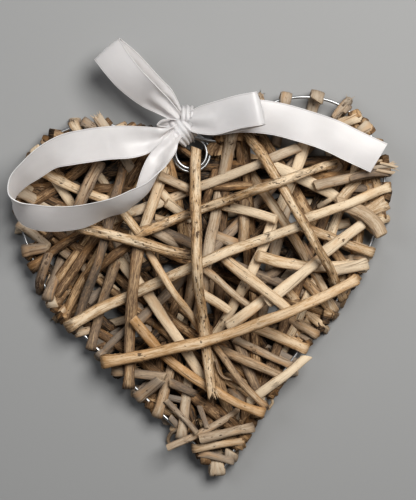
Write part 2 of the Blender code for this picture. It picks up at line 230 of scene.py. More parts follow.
def makeWillow():
    look = willowLook
    shader = Shader("willow", Specular_IOR_Level=0.35)
    grain = shader.node("ShaderNodeUVMap", {"uv_map": "grain"})
    tone, warmth, bark, cut, seed, crest = (
        shader.attribute(name) for name in ("tone", "warmth", "bark", "cut", "seed", "crest"))
    signals = {name: shader.noise(shader.stretched(grain, size, seed + shift), detail, roughness)
               for name, (size, shift, detail, roughness) in look["noises"].items()}
    mottles = ((signals["blotches"] - 0.5) * (look["blotchWeight"] + bark * look["barkWeight"])
               + (signals["streaks"] - 0.5) * look["streakWeight"]
               + (signals["fibres"] - 0.5) * look["fibreWeight"])
    # the lightness takes painted light on each twig's upward-facing top and painted shade on its sides
    signals["lightness"] = tone + mottles + (crest - 0.7) * look["paintedTopLightWeight"]
    signals["warmth"], signals["coldness"] = warmth, warmth * -1.0
    for name, weight in look["barkWeights"].items():
        signals[name] = signals[name] + bark * weight
    # the layers start from the deep colour, a near-black painted shade that the darkest, lowest twigs keep
    colour, masks = look["deep"], {}
    for name, low, high, share, added in look["layers"]:
        masks[name] = signals[name].between(low, high)
        colour = shader.mix(masks[name] * share, colour, look[added])
    colour = shader.mix(cut * look["cutShare"], colour, look["cut"])
    relief = [signals[name] * weight for name, weight in look["relief"].items()]
    relief += [masks[name] * weight for name, weight in look["layerRelief"].items()]
    return shader.finish(Base_Color=colour, Normal=shader.bump(look, sum(relief, 0.0)),
                         Roughness=look["roughness"] + signals["streaks"] * look["rougher"])


# Zinc: bright metal with dull, rougher patches
wireLook = {
    "zinc": (0.62, 0.63, 0.64, 1), "dull": (0.30, 0.31, 0.32, 1), "spotSize": (110, 110, 110),
    "dullSpan": (0.35, 0.75), "roughness": 0.34, "rougher": 0.15, "bumpStrength": 0.2, "bumpDepth": 0.0001,
}


def makeZinc():
    look = wireLook
    shader = Shader("zinc wire", Metallic=1.0)
    spot = shader.node("ShaderNodeTexCoord", output="Object")
    spots = shader.noise(shader.stretched(spot, look["spotSize"]), 3.0)
    dull = spots.between(*look["dullSpan"])
    return shader.finish(Base_Color=shader.mix(dull, look["zinc"], look["dull"]),
                         Normal=shader.bump(look, spots),
                         Roughness=look["roughness"] + dull * look["rougher"])


# Satin: a clouded face with fine threads; its edge value is 1 on the hem and -1 on the seam inside it
satinLook = {
    "face": (0.85, 0.82, 0.815, 1), "deep": (0.72, 0.685, 0.685, 1), "edge": (0.97, 0.955, 0.95, 1),
    "seam": (0.55, 0.52, 0.52, 1), "threadSize": (4200, 260, 1), "cloudSize": (45, 110, 1),
    "cloudSpan": (0.3, 0.7), "cloudShare": 0.3, "seamSpan": (0.2, 1.0), "seamShare": 0.75,
    "edgeSpan": (0.1, 0.8), "cloudDepth": 2.5, "roughness": 0.33, "rougher": 0.12,
    "bumpStrength": 0.3, "bumpDepth": 0.00008,
}


def makeSatin():
    look = satinLook
    shader = Shader("white satin", Specular_IOR_Level=0.5, Sheen_Weight=0.2, Sheen_Roughness=0.4,
                    Subsurface_Weight=0.6, Subsurface_Radius=(1.0, 0.95, 0.9), Subsurface_Scale=0.0015)
    cloth = shader.node("ShaderNodeUVMap", {"uv_map": "grain"})
    edge = shader.attribute("edge")
    clouds = shader.noise(shader.stretched(cloth, look["cloudSize"]), 3.0)
    threads = shader.noise(shader.stretched(cloth, look["threadSize"]), 1.0)
    colour = shader.mix(clouds.between(*look["cloudSpan"]) * look["cloudShare"], look["face"], look["deep"])
    colour = shader.mix((edge * -1.0).between(*look["seamSpan"]) * look["seamShare"], colour, look["seam"])
    colour = shader.mix(edge.between(*look["edgeSpan"]), colour, look["edge"])
    return shader.finish(Base_Color=colour, Roughness=look["roughness"] + clouds * look["rougher"],
                         Normal=shader.bump(look, threads + clouds * look["cloudDepth"]))


finishes = {"willow": makeWillow(), "zinc": makeZinc(), "satin": makeSatin()}
print("finishes made")


def addObject(name, data):
    made = bpy.data.objects.new(name, data)
    bpy.context.scene.collection.objects.link(made)
    return made


def gridFaces(rows, columns):
    # quads of a grid that closes across, numbered row by row, and each corner's row and column, where the
    # column after the last isn't the first again
    row, column = np.indices((rows - 1, columns)).reshape(2, -1)
    rowAt = np.stack([row, row, row + 1, row + 1], axis=-1)
    columnAt = np.stack([column, column + 1, column + 1, column], axis=-1)
    return rowAt * columns + columnAt % columns, rowAt, columnAt


def anglesOf(sides):
    return math.tau * np.arange(sides) / sides


def squareTo(path, side):
    # a path's tangent, its side made square to that, and the rise that is square to both
    tangent = unit(np.gradient(path, axis=0))
    side = unit(side - (side * tangent).sum(axis=1, keepdims=True) * tangent)
    return tangent, side, np.cross(tangent, side)


def ringsAlong(path, side, rise, across, upward):
    # rings round a path, from how far each point lies across it and upwards
    return path[:, None] + side[:, None] * across[..., None] + rise[:, None] * upward[..., None]


class Shape:
    # surfaces gathered into one mesh: vertices, faces, a grain map and values at the vertices
    def __init__(self):
        self.vertices, self.loops, self.sizes, self.grain, self.values = [], [], [], [], {}
        self.count = 0

    def add(self, vertices, faces, grain, **values):
        # faces: lists of equal-sided index arrays; grain: one map point for each corner
        for corners, mapped in zip(faces, grain):
            self.loops.append((corners + self.count).reshape(-1))
            self.sizes.append(np.full(len(corners), corners.shape[1]))
            self.grain.append(mapped.reshape(-1, 2))
        self.vertices.append(vertices)
        for name, value in values.items():
            spread = np.broadcast_to(np.asarray(value, float), (len(vertices),))
            self.values.setdefault(name, []).append(spread)
        self.count += len(vertices)

    def make(self, name, finish, slot, nodes=()):
        # what would dip below the floor is flattened just above it; the sides have no such limit
        vertices = np.maximum(np.vstack(self.vertices), [-math.inf, -math.inf, stageLook["lowest"]])
        loops = np.concatenate(self.loops)
        sizes = np.concatenate(self.sizes)
        mesh = bpy.data.meshes.new(name)
        mesh.vertices.add(len(vertices))
        mesh.vertices.foreach_set("co", vertices.astype(np.float32).ravel())
        mesh.loops.add(len(loops))
        mesh.loops.foreach_set("vertex_index", loops.astype(np.int32))
        mesh.polygons.add(len(sizes))
        starts = np.concatenate([[0], np.cumsum(sizes)[:-1]])
        mesh.polygons.foreach_set("loop_start", starts.astype(np.int32))
        mesh.update(calc_edges=True)
        layer = mesh.uv_layers.new(name="grain")
        layer.data.foreach_set("uv", np.vstack(self.grain).astype(np.float32).ravel())
        for label, value in self.values.items():
            attribute = mesh.attributes.new(label, "FLOAT", "POINT")
            attribute.data.foreach_set("value", np.concatenate(value).astype(np.float32))
        mesh.shade_smooth()
        mesh.set_sharp_from_angle(angle=sharpAngle)
        mesh.materials.append(finish)
        piece = addObject(name, mesh)
        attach(piece, rootBody)
        if nodes:
            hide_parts(*nodes)
        return piece


def addTube(shape, rings, along, around, ends, **values):
    # a tube of rings, closed at both ends by a fan to a point; values are given for each ring or vertex
    count, sides = rings.shape[:2]
    quads, rowAt, columnAt = gridFaces(count, sides)
    side = np.arange(sides)
    beside = (side + 1) % sides
    base = (count - 1) * sides
    startFan = np.stack([np.full(sides, count * sides), beside, side], axis=-1)
    endFan = np.stack([np.full(sides, count * sides + 1), base + side, base + beside], axis=-1)
    grain = np.stack([along[rowAt], around * columnAt / sides], axis=-1)
    fan = around * np.stack([side + 0.5, side + 1, side], axis=-1) / sides
    startMap = np.stack([np.full((sides, 3), along[0]), fan], axis=-1)
    endMap = np.stack([np.full((sides, 3), along[-1]), fan[:, [0, 2, 1]]], axis=-1)
    vertices = np.vstack([rings.reshape(-1, 3), ends[0][None], ends[1][None]])
    spread = {}
    for name, value in values.items():
        value = np.asarray(value, float)
        value = np.broadcast_to(value[:, None] if value.ndim == 1 else value, (count, sides))
        spread[name] = np.concatenate([value.ravel(), value[0, :1], value[-1, :1]])
    shape.add(vertices, [quads, startFan, endFan], [grain, startMap, endMap], **spread)


# Slivers of a torn end: how many, how long, how they spread, lean and bend, how thin they are, and their look
sliverLook = {
    "count": 8, "steps": 6, "sides": 8, "length": 0.0052, "shortest": 0.35, "root": 0.25, "spread": 0.8,
    "depth": 0.6, "fan": 0.4, "lean": 0.2, "lift": 0.35, "thin": (0.0003, 0.0007), "taper": 0.85,
    # crest: a fixed upward facing for the painted light and shade of the slivers
    "flatness": 0.45, "toneLift": 0.4, "cut": 0.5, "crest": 0.6,
}


def addSliver(shape, path, side, halfAcross, halfThick, **values):
    # a thin strip with an oval section along a path, drawn out to its two tips
    _, side, rise = squareTo(path, side)
    angle = anglesOf(sliverLook["sides"])
    rings = ringsAlong(path, side, rise, np.cos(angle) * halfAcross[:, None],
                       np.sin(angle) * halfThick[:, None])
    addTube(shape, rings, lengthsAlong(path), math.tau * halfAcross.max(), (path[0], path[-1]), **values)


def addSlivers(shape, rng, centre, way, side, rise, halfWidth, halfThickness, values):
    # slivers that fan out of a torn end, each leaning outwards and bending up or down by a power of the share
    look = sliverLook
    share = np.linspace(0, 1, look["steps"])[:, None]
    for _ in range(look["count"]):
        across = rng.uniform(-look["spread"], look["spread"])
        length = rng.uniform(look["shortest"], 1) * look["length"]
        lean = across * look["fan"] + rng.uniform(-look["lean"], look["lean"])
        lift = rng.uniform(-look["lift"], look["lift"])
        deep = rng.uniform(-look["depth"], look["depth"])
        start = centre + side * across * halfWidth + rise * deep * halfThickness
        path = (start + way * ((share - look["root"]) * length) + side * (lean * length * share ** 1.6)
                + rise * (lift * length * share ** 2))
        thin = rng.uniform(*look["thin"]) * (1 - look["taper"] * share[:, 0])
        addSliver(shape, path, np.tile(side, (look["steps"], 1)), thin, thin * look["flatness"], **values)


# Twigs: their facets, ridges, buds, ends, and how their tone runs over the heart: darker to the left, partly
# their own browner colour and partly painted shade away from the light
twigLook = {
    "sides": 20, "pitch": 0.0008, "curveSteps": 12, "backSeed": 500, "ridge": 0.05,
    "ridgeWaves": (2, 3, 5, 7), "ridgeSizes": (0.3, 1.0), "ridgeTwist": 0.7, "twistEvery": 0.05,
    "swell": 0.05, "swellEvery": 0.035, "wobble": 0.00035, "swayEvery": 0.06, "heave": 0.4,
    "heaveEvery": 0.05, "ragged": 0.07, "roundness": 0.90, "foldRoundness": 0.5, "budEvery": 0.055,
    "budSize": 0.07, "budLength": 0.0016, "budSpan": (0.08, 0.92), "budFacing": (0.2, math.pi - 0.2),
    "budBark": 0.4, "bevel": 0.0004, "insetShare": 0.86, "innerShare": 0.45, "cutSlant": 0.35,
    "cutRise": (-0.6, 0.9), "pointLength": 0.9, "spikeLength": 0.0026, "capSpots": (0.001, 0.0005, 0),
    "capCuts": (1, 1, 0.25), "freshCut": 0.6, "toneLift": 0.12, "paintedLightAndToneSlope": 4.5, "endReach": 0.018,
}


def addTwig(shape, path, side, halfWidth, halfThickness, roundness, bent, style, rng):
    # a rod along a path: each ring is a squarish oval times ridges that run along it, swollen at its buds and
    # ragged where it is bent, with slanted, pointed or torn ends
    look = twigLook
    along = lengthsAlong(path)
    length = along[-1]
    count = len(path)
    tangent, side, rise = squareTo(path, side)
    angle = anglesOf(look["sides"])
    ovalAcross = np.sign(np.cos(angle)) * np.abs(np.cos(angle)) ** roundness[:, None]
    ovalRise = np.sign(np.sin(angle)) * np.abs(np.sin(angle)) ** roundness[:, None]
    ridges = np.zeros((count, look["sides"]))
    for waves in look["ridgeWaves"]:
        drift = rng.uniform(0, math.tau) + wander(rng, along, look["twistEvery"]) * look["ridgeTwist"]
        size = rng.uniform(*look["ridgeSizes"])
        ridges += np.sin(waves * angle[None, :] + drift[:, None]) * size / math.sqrt(waves)
    radius = 1 + look["ridge"] * ridges
    radius *= (1 + look["swell"] * wander(rng, along, look["swellEvery"]))[:, None]
    radius += look["ragged"] * bent[:, None] * rng.uniform(-1, 1, (count, look["sides"]))
    buds = np.zeros(count)
    for _ in range(int(length / look["budEvery"] + rng.uniform(0, 1))):
        bud = np.exp(-((along - rng.uniform(*look["budSpan"]) * length) / look["budLength"]) ** 2)
        facing = 0.5 + 0.5 * np.cos(angle - rng.uniform(*look["budFacing"]))
        radius += look["budSize"] * bud[:, None] * facing[None, :] ** 2 * 2
        buds += bud
    middle = path + side * (wander(rng, along, look["swayEvery"]) * look["wobble"])[:, None]
    heave = wander(rng, along, look["heaveEvery"]) * look["wobble"] * look["heave"]
    middle = middle + rise * heave[:, None]
    rings = ringsAlong(middle, side, rise, ovalAcross * radius * halfWidth[:, None],
                       ovalRise * radius * halfThickness[:, None])
    nearEnd = smoothStep(1 - np.minimum(along, length - along) / look["endReach"])
    # tone falls towards the left: partly the twigs' own browner colour, partly painted shade
    toned = (style["tone"] + look["toneLift"] + middle[:, 0] * look["paintedLightAndToneSlope"]
             + style.get("paleEnds", 0) * nearEnd)
    barked = np.full(count, style["bark"]) + buds * look["budBark"]
    seed = rng.uniform(0, 50)
    caps = []
    for edge, kind, outward in ((0, style["ends"][0], -1), (-1, style["ends"][1], 1)):
        way = tangent[edge] * outward
        slant = rng.uniform(-1, 1) * ovalAcross[edge] + rng.uniform(*look["cutRise"]) * ovalRise[edge]
        push = slant * look["cutSlant"] * halfWidth[edge]
        if kind == "fray":
            spikes = rng.uniform(0, 1, look["sides"])
            push = push + (0.6 * spikes + 0.4 * np.roll(spikes, 1)) ** 1.5 * look["spikeLength"]
            values = {"tone": toned[edge] + sliverLook["toneLift"], "warmth": style["warmth"],
                      "bark": style["bark"], "cut": sliverLook["cut"], "seed": seed,
                      "crest": sliverLook["crest"]}
            addSlivers(shape, rng, middle[edge], way, side[edge], rise[edge], halfWidth[edge],
                       halfThickness[edge], values)
        if kind == "point":
            push = push + (ovalAcross[edge] * rng.choice([-1, 1]) + 1) * halfWidth[edge] * look["pointLength"]
        lip = rings[edge] + way * push[:, None]
        centre = middle[edge]
        inset, inner = (centre + (rings[edge] - centre) * share + way * (reach + look["bevel"])[:, None]
                        for share, reach in ((look["insetShare"], push), (look["innerShare"], push * 0.5)))
        caps.append((lip[None], inset[None], inner[None]))
    (startLip, startInset, startInner), (endLip, endInset, endInner) = caps
    rings = np.vstack([startInner, startInset, startLip, rings[1:-1], endLip, endInset, endInner])
    beyond = np.array(look["capSpots"])
    spots = np.concatenate([along[0] - beyond, along[1:-1], along[-1] + beyond[::-1]])
    cut = np.concatenate([look["capCuts"], np.zeros(count - 2), look["capCuts"][::-1]])
    cut *= style.get("fresh", look["freshCut"])
    # each vertex's upward facing, passed to the shader for the painted light on top and painted shade on the
    # sides
    outward = unit(rings - rings.mean(axis=1, keepdims=True))
    addTube(shape, rings, spots, math.tau * halfWidth.mean(),
            (startInner[0].mean(axis=0), endInner[0].mean(axis=0)),
            tone=np.interp(spots, along, toned), warmth=style["warmth"],
            bark=np.interp(spots, along, barked), cut=cut, seed=seed, crest=outward[..., 2])


# Reading a twig from the frame: the least gap between two rings, and how much wider its thick end must be
ringGap = 0.0022
endMargin = 0.00005


def nodeRings(node):
    # the rings of a rod-like node: its points sorted along it, parted where a gap lies between two rings,
    # with the thick end first
    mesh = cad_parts[node].data
    points = np.empty(len(mesh.vertices) * 3, np.float32)
    mesh.vertices.foreach_get("co", points)
    points = np.unique(np.round(points.reshape(-1, 3).astype(float), 6), axis=0)
    flat = points[:, :2] - points[:, :2].mean(axis=0)
    axis = np.linalg.svd(flat, full_matrices=False)[2][0]
    along = flat @ axis
    order = np.argsort(along)
    breaks = np.nonzero(np.diff(along[order]) > ringGap)[0] + 1
    groups = np.split(points[order], breaks)
    centres = np.array([group.mean(axis=0) for group in groups])
    across = np.array([-axis[1], axis[0]])
    widths = np.array([np.ptp(group[:, :2] @ across) / 2 for group in groups])
    if widths[0] < widths[-1] - endMargin:
        centres, widths = centres[::-1], widths[::-1]
    return centres, widths


# A twig's thickness as a share of its width
flatness = 0.66
rods = {node: nodeRings(node) for node in sorted(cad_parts) if "twig" in node}
print("twigs read from the frame:", len(rods))


def relax(heights, share):
    # moves every height but the first and last towards the middle of its two neighbours
    heights[1:-1] += share * (heights[:-2] + heights[2:] - 2 * heights[1:-1])


# How the rods are sampled, the cells seen from above, and how a new rod finds its place and settles
weaving = {"samplePitch": 0.0015, "cellPitch": 0.0014, "corner": (-0.095, -0.10), "cells": (140, 150),
           "reachShare": 0.9, "fullness": 1.1, "rounds": 160, "sink": 0.0002, "spring": 0.3,
           "smoothings": 4, "smoothing": 0.25}


class Weave:
    # the rods that are there already, as samples along their middles, and which cells they cover from above
    def __init__(self):
        self.spots = np.empty((0, 3))
        self.halves = np.empty((0, 2))
        self.pitch = weaving["cellPitch"]
        self.corner = np.array(weaving["corner"])
        column, row = np.meshgrid(*(np.arange(count) for count in weaving["cells"]))
        self.cells = self.corner + np.stack([column, row], axis=-1) * self.pitch
        self.cover = np.zeros(self.cells.shape[:2])

    def add(self, points, halfWidth, halfThickness):
        dense = resample(points, weaving["samplePitch"])
        self.spots = np.vstack([self.spots, dense])
        self.halves = np.vstack([self.halves, np.tile([halfWidth, halfThickness], (len(dense), 1))])
        low = np.floor((dense[:, :2].min(axis=0) - halfWidth - self.corner) / self.pitch).astype(int)
        high = np.ceil((dense[:, :2].max(axis=0) + halfWidth - self.corner) / self.pitch).astype(int) + 1
        low = np.maximum(low, 0)
        part = self.cells[low[1]:high[1], low[0]:high[0]]
        gap = np.linalg.norm(part[:, :, None] - dense[None, None, :, :2], axis=-1).min(axis=-1)
        self.cover[low[1]:high[1], low[0]:high[0]] += gap < halfWidth

    def openShare(self, spots):
        # how much of each row of spots lies over cells that nothing covers
        index = np.round((spots - self.corner) / self.pitch).astype(int)
        index = np.clip(index, 0, [self.cover.shape[1] - 1, self.cover.shape[0] - 1])
        return (self.cover[index[..., 1], index[..., 0]] == 0).mean(axis=-1)

    def thread(self, flat, halfWidth, halfThickness, level):
        # the heights of a rod that goes over what lies below its wanted level and under what lies above,
        # and sinks until it rests
        gaps = np.linalg.norm(flat[:, None] - self.spots[None, :, :2], axis=2)
        reach = halfWidth * weaving["reachShare"] + self.halves[:, 0]
        near = gaps < reach
        rounded = np.sqrt(np.clip(weaving["fullness"] - (gaps / reach) ** 2, 0, 1))
        stack = (halfThickness + self.halves[:, 1]) * rounded
        lower = self.spots[None, :, 2] < level
        floor = np.where(near & lower, self.spots[:, 2] + stack, halfThickness).max(axis=1)
        ceiling = np.where(near & ~lower, self.spots[:, 2] - stack, 1.0).min(axis=1)
        floor = np.maximum(floor, halfThickness)
        middle = (floor + ceiling) / 2
        floor, ceiling = np.minimum(floor, middle), np.maximum(ceiling, middle)
        heights = np.clip(np.full(len(flat), level), floor, ceiling)
        for turn in range(weaving["rounds"]):
            heights = heights - weaving["sink"] * (1 - turn / weaving["rounds"])
            relax(heights, weaving["spring"])
            heights = np.clip(heights, floor, ceiling)
        for _ in range(weaving["smoothings"]):
            relax(heights, weaving["smoothing"])
        return heights


weave = Weave()
for centres, widths in rods.values():
    weave.add(centres, widths.mean(), widths.mean() * flatness)

# The wire heart and its eye, with the eye's middle and the outline in the squares of the sheet
wire = {
    "diameter": 0.0014, "eyeOuter": 0.0184, "eyeInnerShare": 0.83, "exitRise": 0.0006, "exitLength": 0.037,
    "gap": 0.00036, "eyeSquare": (191, 152), "turns": 2, "start": math.radians(106),
    "overrun": math.radians(24), "drawIn": (math.radians(200), math.radians(400)), "leaving": 0.3,
    "pitch": 0.0010, "sides": 12, "eyeSteps": 160, "outlineSteps": 24,
}
heartOutline = [
    (222, 139), (243, 118), (270, 102), (305, 95), (341, 103), (371, 131), (385, 163), (386, 196),
    (377, 234), (357, 274), (330, 313), (298, 355), (268, 398), (240, 443), (219, 473), (194, 446),
    (160, 415), (126, 381), (88, 342), (54, 306), (29, 256), (18, 214), (23, 175), (42, 143),
    (70, 126), (100, 122), (132, 129), (160, 135),
]

# The height of the wire's middle where it lies lowest
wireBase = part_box("wire_frame")[0].z + wire["diameter"] / 2


def wireRoute():
    # two turns of a circle that draws in and climbs, then a smooth curve through the outline's squares
    centre = place(wire["eyeSquare"])
    swept = math.tau * wire["turns"] + wire["overrun"]
    turned = np.linspace(0, swept, wire["eyeSteps"])
    angle = wire["start"] + sheet["lean"] - turned
    inward = smoothStep((turned - wire["drawIn"][0]) / (wire["drawIn"][1] - wire["drawIn"][0]))
    outer = wire["eyeOuter"] / 2 - wire["diameter"] / 2
    radius = outer * (1 - (1 - wire["eyeInnerShare"]) * inward)
    leaving = smoothStep((turned / math.tau - wire["turns"]) / wire["leaving"] + 1)
    climb = (wire["diameter"] + wire["gap"]) * turned / math.tau + wire["exitRise"] * leaving
    eye = np.column_stack([centre[0] + radius * np.cos(angle), centre[1] + radius * np.sin(angle),
                           wireBase + climb])
    run = smoothCurve(np.vstack([eye[-1:, :2], place(heartOutline), eye[:1, :2]]), wire["outlineSteps"])
    drop = smoothStep(1 - lengthsAlong(run) / wire["exitLength"])
    heart = np.column_stack([run, wireBase + (eye[-1, 2] - wireBase) * drop])
    return np.vstack([eye, heart[1:-1]]), heart


wirePath, heartPath = wireRoute()
weave.add(wirePath, wire["diameter"] / 2, wire["diameter"] / 2)


def makeWire():
    # a round rod carried along the route, its ends joined
    path = resample(wirePath, wire["pitch"], closed=True)
    tangent = unit(np.roll(path, -1, axis=0) - np.roll(path, 1, axis=0))
    side = unit(np.cross([0, 0, 1.0], tangent))
    angle = anglesOf(wire["sides"])
    half = wire["diameter"] / 2
    rings = ringsAlong(path, side, np.cross(tangent, side), np.cos(angle) * half, np.sin(angle) * half)
    count, sides = len(path), wire["sides"]
    quads, rowAt, columnAt = gridFaces(count + 1, sides)
    grain = np.stack([wire["pitch"] * rowAt, half * math.tau * columnAt / sides], axis=-1)
    shape = Shape()
    shape.add(rings.reshape(-1, 3), [quads % (count * sides)], [grain])
    shape.make("wire_heart", finishes["zinc"], "zinc_wire", ["wire_frame"])


makeWire()
print("wire made")


def crossing(end, way):
    # how far along a line from a point it crosses the wire, nearest to the point, and the wire's height;
    # a metre stands for no crossing
    start, after = heartPath[:-1, :2], heartPath[1:, :2]
    step = after - start
    determinant = way[1] * step[:, 0] - way[0] * step[:, 1]
    determinant = np.where(np.abs(determinant) < 1e-12, 1e-12, determinant)
    gap = start - end
    reach = (gap[:, 1] * step[:, 0] - gap[:, 0] * step[:, 1]) / determinant
    share = (way[0] * gap[:, 1] - way[1] * gap[:, 0]) / determinant
    hit = (share >= 0) & (share <= 1)
    if not hit.any():
        return 1.0, 0.0
    best = np.argmin(np.where(hit, np.abs(reach), 9.0))
    return reach[best], heartPath[best, 2]


# Folded ends: how near the wire an end must be, how far it runs back, how it flattens, and how often it tears
fold = {"reach": 0.0085, "tail": 0.0065, "upwardTail": 0.0012, "flatten": 0.62, "widen": 1.12,
        "room": 0.0007, "torn": 0.6, "arcSteps": 12, "tailSteps": 6, "blends": 5}


def foldOver(path, halfThickness, upward):
    # carries a twig's end on over the wire and round it, on half an oval, and a little way back
    way = unit(path[-1, :2] - path[-4, :2])
    reach, wireLevel = crossing(path[-1, :2], way)
    if abs(reach) > fold["reach"]:
        return None
    spot = path[-1, :2] + way * reach
    clear = wire["diameter"] / 2 + halfThickness * fold["flatten"]
    path = path[((path[:, :2] - spot) @ way) < -fold["room"]]
    top, far = path[-1, 2], wireLevel + clear
    if not upward:
        top, far = max(top, wireLevel + clear), wireLevel - clear
    turn = np.linspace(math.pi / 2, -math.pi / 2, fold["arcSteps"])[1:]
    outward = way * ((clear + fold["room"]) * np.cos(turn))[:, None]
    arc = np.column_stack([spot + outward, (top + far) / 2 + (top - far) / 2 * np.sin(turn)])
    tail = fold["upwardTail"] if upward else fold["tail"]
    back = spot - way * (np.linspace(0, tail, fold["tailSteps"])[1:, None])
    return len(path), np.vstack([path, arc, np.column_stack([back, np.full(len(back), far)])])


def finishTwig(shape, path, halfWidths, style, rng, upward=False):
    # a twig from its middle line: its ends folded round the wire where they reach it, then made round
    sides = unit(np.cross([0, 0, 1.0], np.gradient(path, axis=0) * [1, 1, 0]))
    ends = list(style["ends"])
    thickness = style.get("thickness", flatness)
    spread = np.linspace(0, 1, len(path))
    widths = np.interp(spread, np.linspace(0, 1, len(halfWidths)), halfWidths)
    table = np.column_stack([path, sides, widths, np.ones(len(path))])
    for end in (0, 1):
        table = table[::-1]
        if not ends[end].startswith("fold"):
            continue
        folded = foldOver(table[:, :3], widths.mean() * thickness, upward)
        if folded is None:
            ends[end] = "cut"
            continue
        kept, points = folded
        flatPart = np.tile(table[kept - 1], (len(points) - kept, 1))
        flatPart[:, 7] = 0
        table = np.vstack([table[:kept], flatPart])
        table[:, :3] = points
        ends[end] = "fray" if rng.uniform() < fold["torn"] and not upward else "cut"
    even = resample(table, style.get("pitch", twigLook["pitch"]))
    flat = 1 - even[:, 7]
    for _ in range(fold["blends"]):
        flat[1:-1] = (flat[:-2] + flat[2:] + 2 * flat[1:-1]) / 4
    squash = 1 - (1 - fold["flatten"]) * flat
    roundness = twigLook["roundness"] + (twigLook["foldRoundness"] - twigLook["roundness"]) * flat
    addTwig(shape, even[:, :3], even[:, 3:6], even[:, 6] * (1 + (fold["widen"] - 1) * flat),
            even[:, 6] * thickness * squash, roundness, flat, dict(style, ends=ends), rng)


# Each front twig's look: tone from dark to pale, which holds painted light and shade as well as the twig's
# own colour, warmth from grey to orange, bark, and its two ends where they aren't both folded
frontLooks = {
    1: (1.6, 0.17, 0.2), 2: (0.68, 0.2, 0.25), 3: (-0.27, -0.78, 0.3), 4: (-1.07, 0.1, 0.3),
    5: (-0.01, -0.66, 0.3), 6: (0.25, -0.77, 0.25), 7: (1.25, 0.23, 0.15), 8: (-0.1, -0.49, 0.2),
    9: (1.36, 0.05, 0.1), 10: (-0.06, -0.43, 0.1), 11: (0.44, 0.05, 0.1), 12: (-0.15, -0.24, 0.15),
    13: (-0.35, -0.57, 0.2), 14: (-0.19, -0.84, 0.2), 15: (0.38, 0.45, 0.15), 16: (-0.38, -0.6, 0.2),
    17: (1.3, -0.05, 0.2, "cut", "point"), 18: (-0.5, -0.45, 0.1), 19: (0.07, -0.55, 0.3),
    20: (0.46, -0.25, 0.1), 21: (1.6, 0.32, 0.05), 22: (-0.6, -0.51, 0.2), 23: (-1.14, 0.2, 0.2),
    24: (-0.32, -0.8, 0.1), 25: (-0.24, -1.07, 0.05), 26: (0.18, -0.47, 0.15), 27: (-0.18, -0.81, 0.2),
    28: (0.16, -0.8, 0.2, "cut", "fold"), 29: (0.8, -0.18, 0.05), 30: (0.86, -0.25, 0.05),
    31: (0.5, 0.37, 0.1), 32: (1.13, 0.13, 0.1), 33: (0.72, -0.27, 0.1), 34: (0.33, -0.08, 0.1),
    35: (-0.22, -0.88, 0.2),
    36: (1.12, -0.54, 0.25), 37: (0.68, -0.24, 0.2), 38: (0.39, -0.62, 0.2), 39: (-1.23, -0.5, 0.3),
    40: (0.49, -0.19, 0.35), 41: (0.54, 0.45, 0.15), 42: (-0.51, -0.32, 0.15), 43: (0.18, 0.75, 0.2),
    44: (-0.17, 0.02, 0.5), 45: (0.24, 0.27, 0.55), 46: (0.28, -0.12, 0.55),
    47: (0.24, 0.17, 0.5, "cut", "fray"), 48: (0.26, 0.47, 0.2),
}

# The same for the back twigs
backLooks = {
    1: (1.6, -0.32, 0.3, "cut", "cut"), 2: (1.16, -0.77, 0.3),
    3: (0.14, -1.2, 0.3, "cut", "cut"), 4: (-0.4, -1.2, 0.3, "cut", "cut"),
    5: (0.19, -1.0, 0.2), 6: (-0.8, -0.54, 0.3),
    7: (-0.7, -0.92, 0.3, "cut", "fold"), 8: (-1.23, -0.75, 0.3),
}

# Twigs whose thick end stops short of the wire, with the share of their length that is left off
shortened = {"front_twig_28": 0.12}


def makeTwigs():
    for node, (centres, widths) in rods.items():
        number = int(node[-2:])
        front = node.startswith("front")
        rng = np.random.default_rng(number + (0 if front else twigLook["backSeed"]))
        tone, warmth, bark, *ends = (frontLooks if front else backLooks)[number]
        style = {"tone": tone, "warmth": warmth, "bark": bark, "ends": ends or ["fold", "fold"]}
        shape = Shape()
        path = smoothCurve(centres, twigLook["curveSteps"])
        path = path[round(len(path) * shortened.get(node, 0)):]
        finishTwig(shape, path, widths, style, rng, upward=not front)
        shape.make("willow_" + node, finishes["willow"], "willow" if front else "back_willow", [node])


makeTwigs()
print("twigs made")
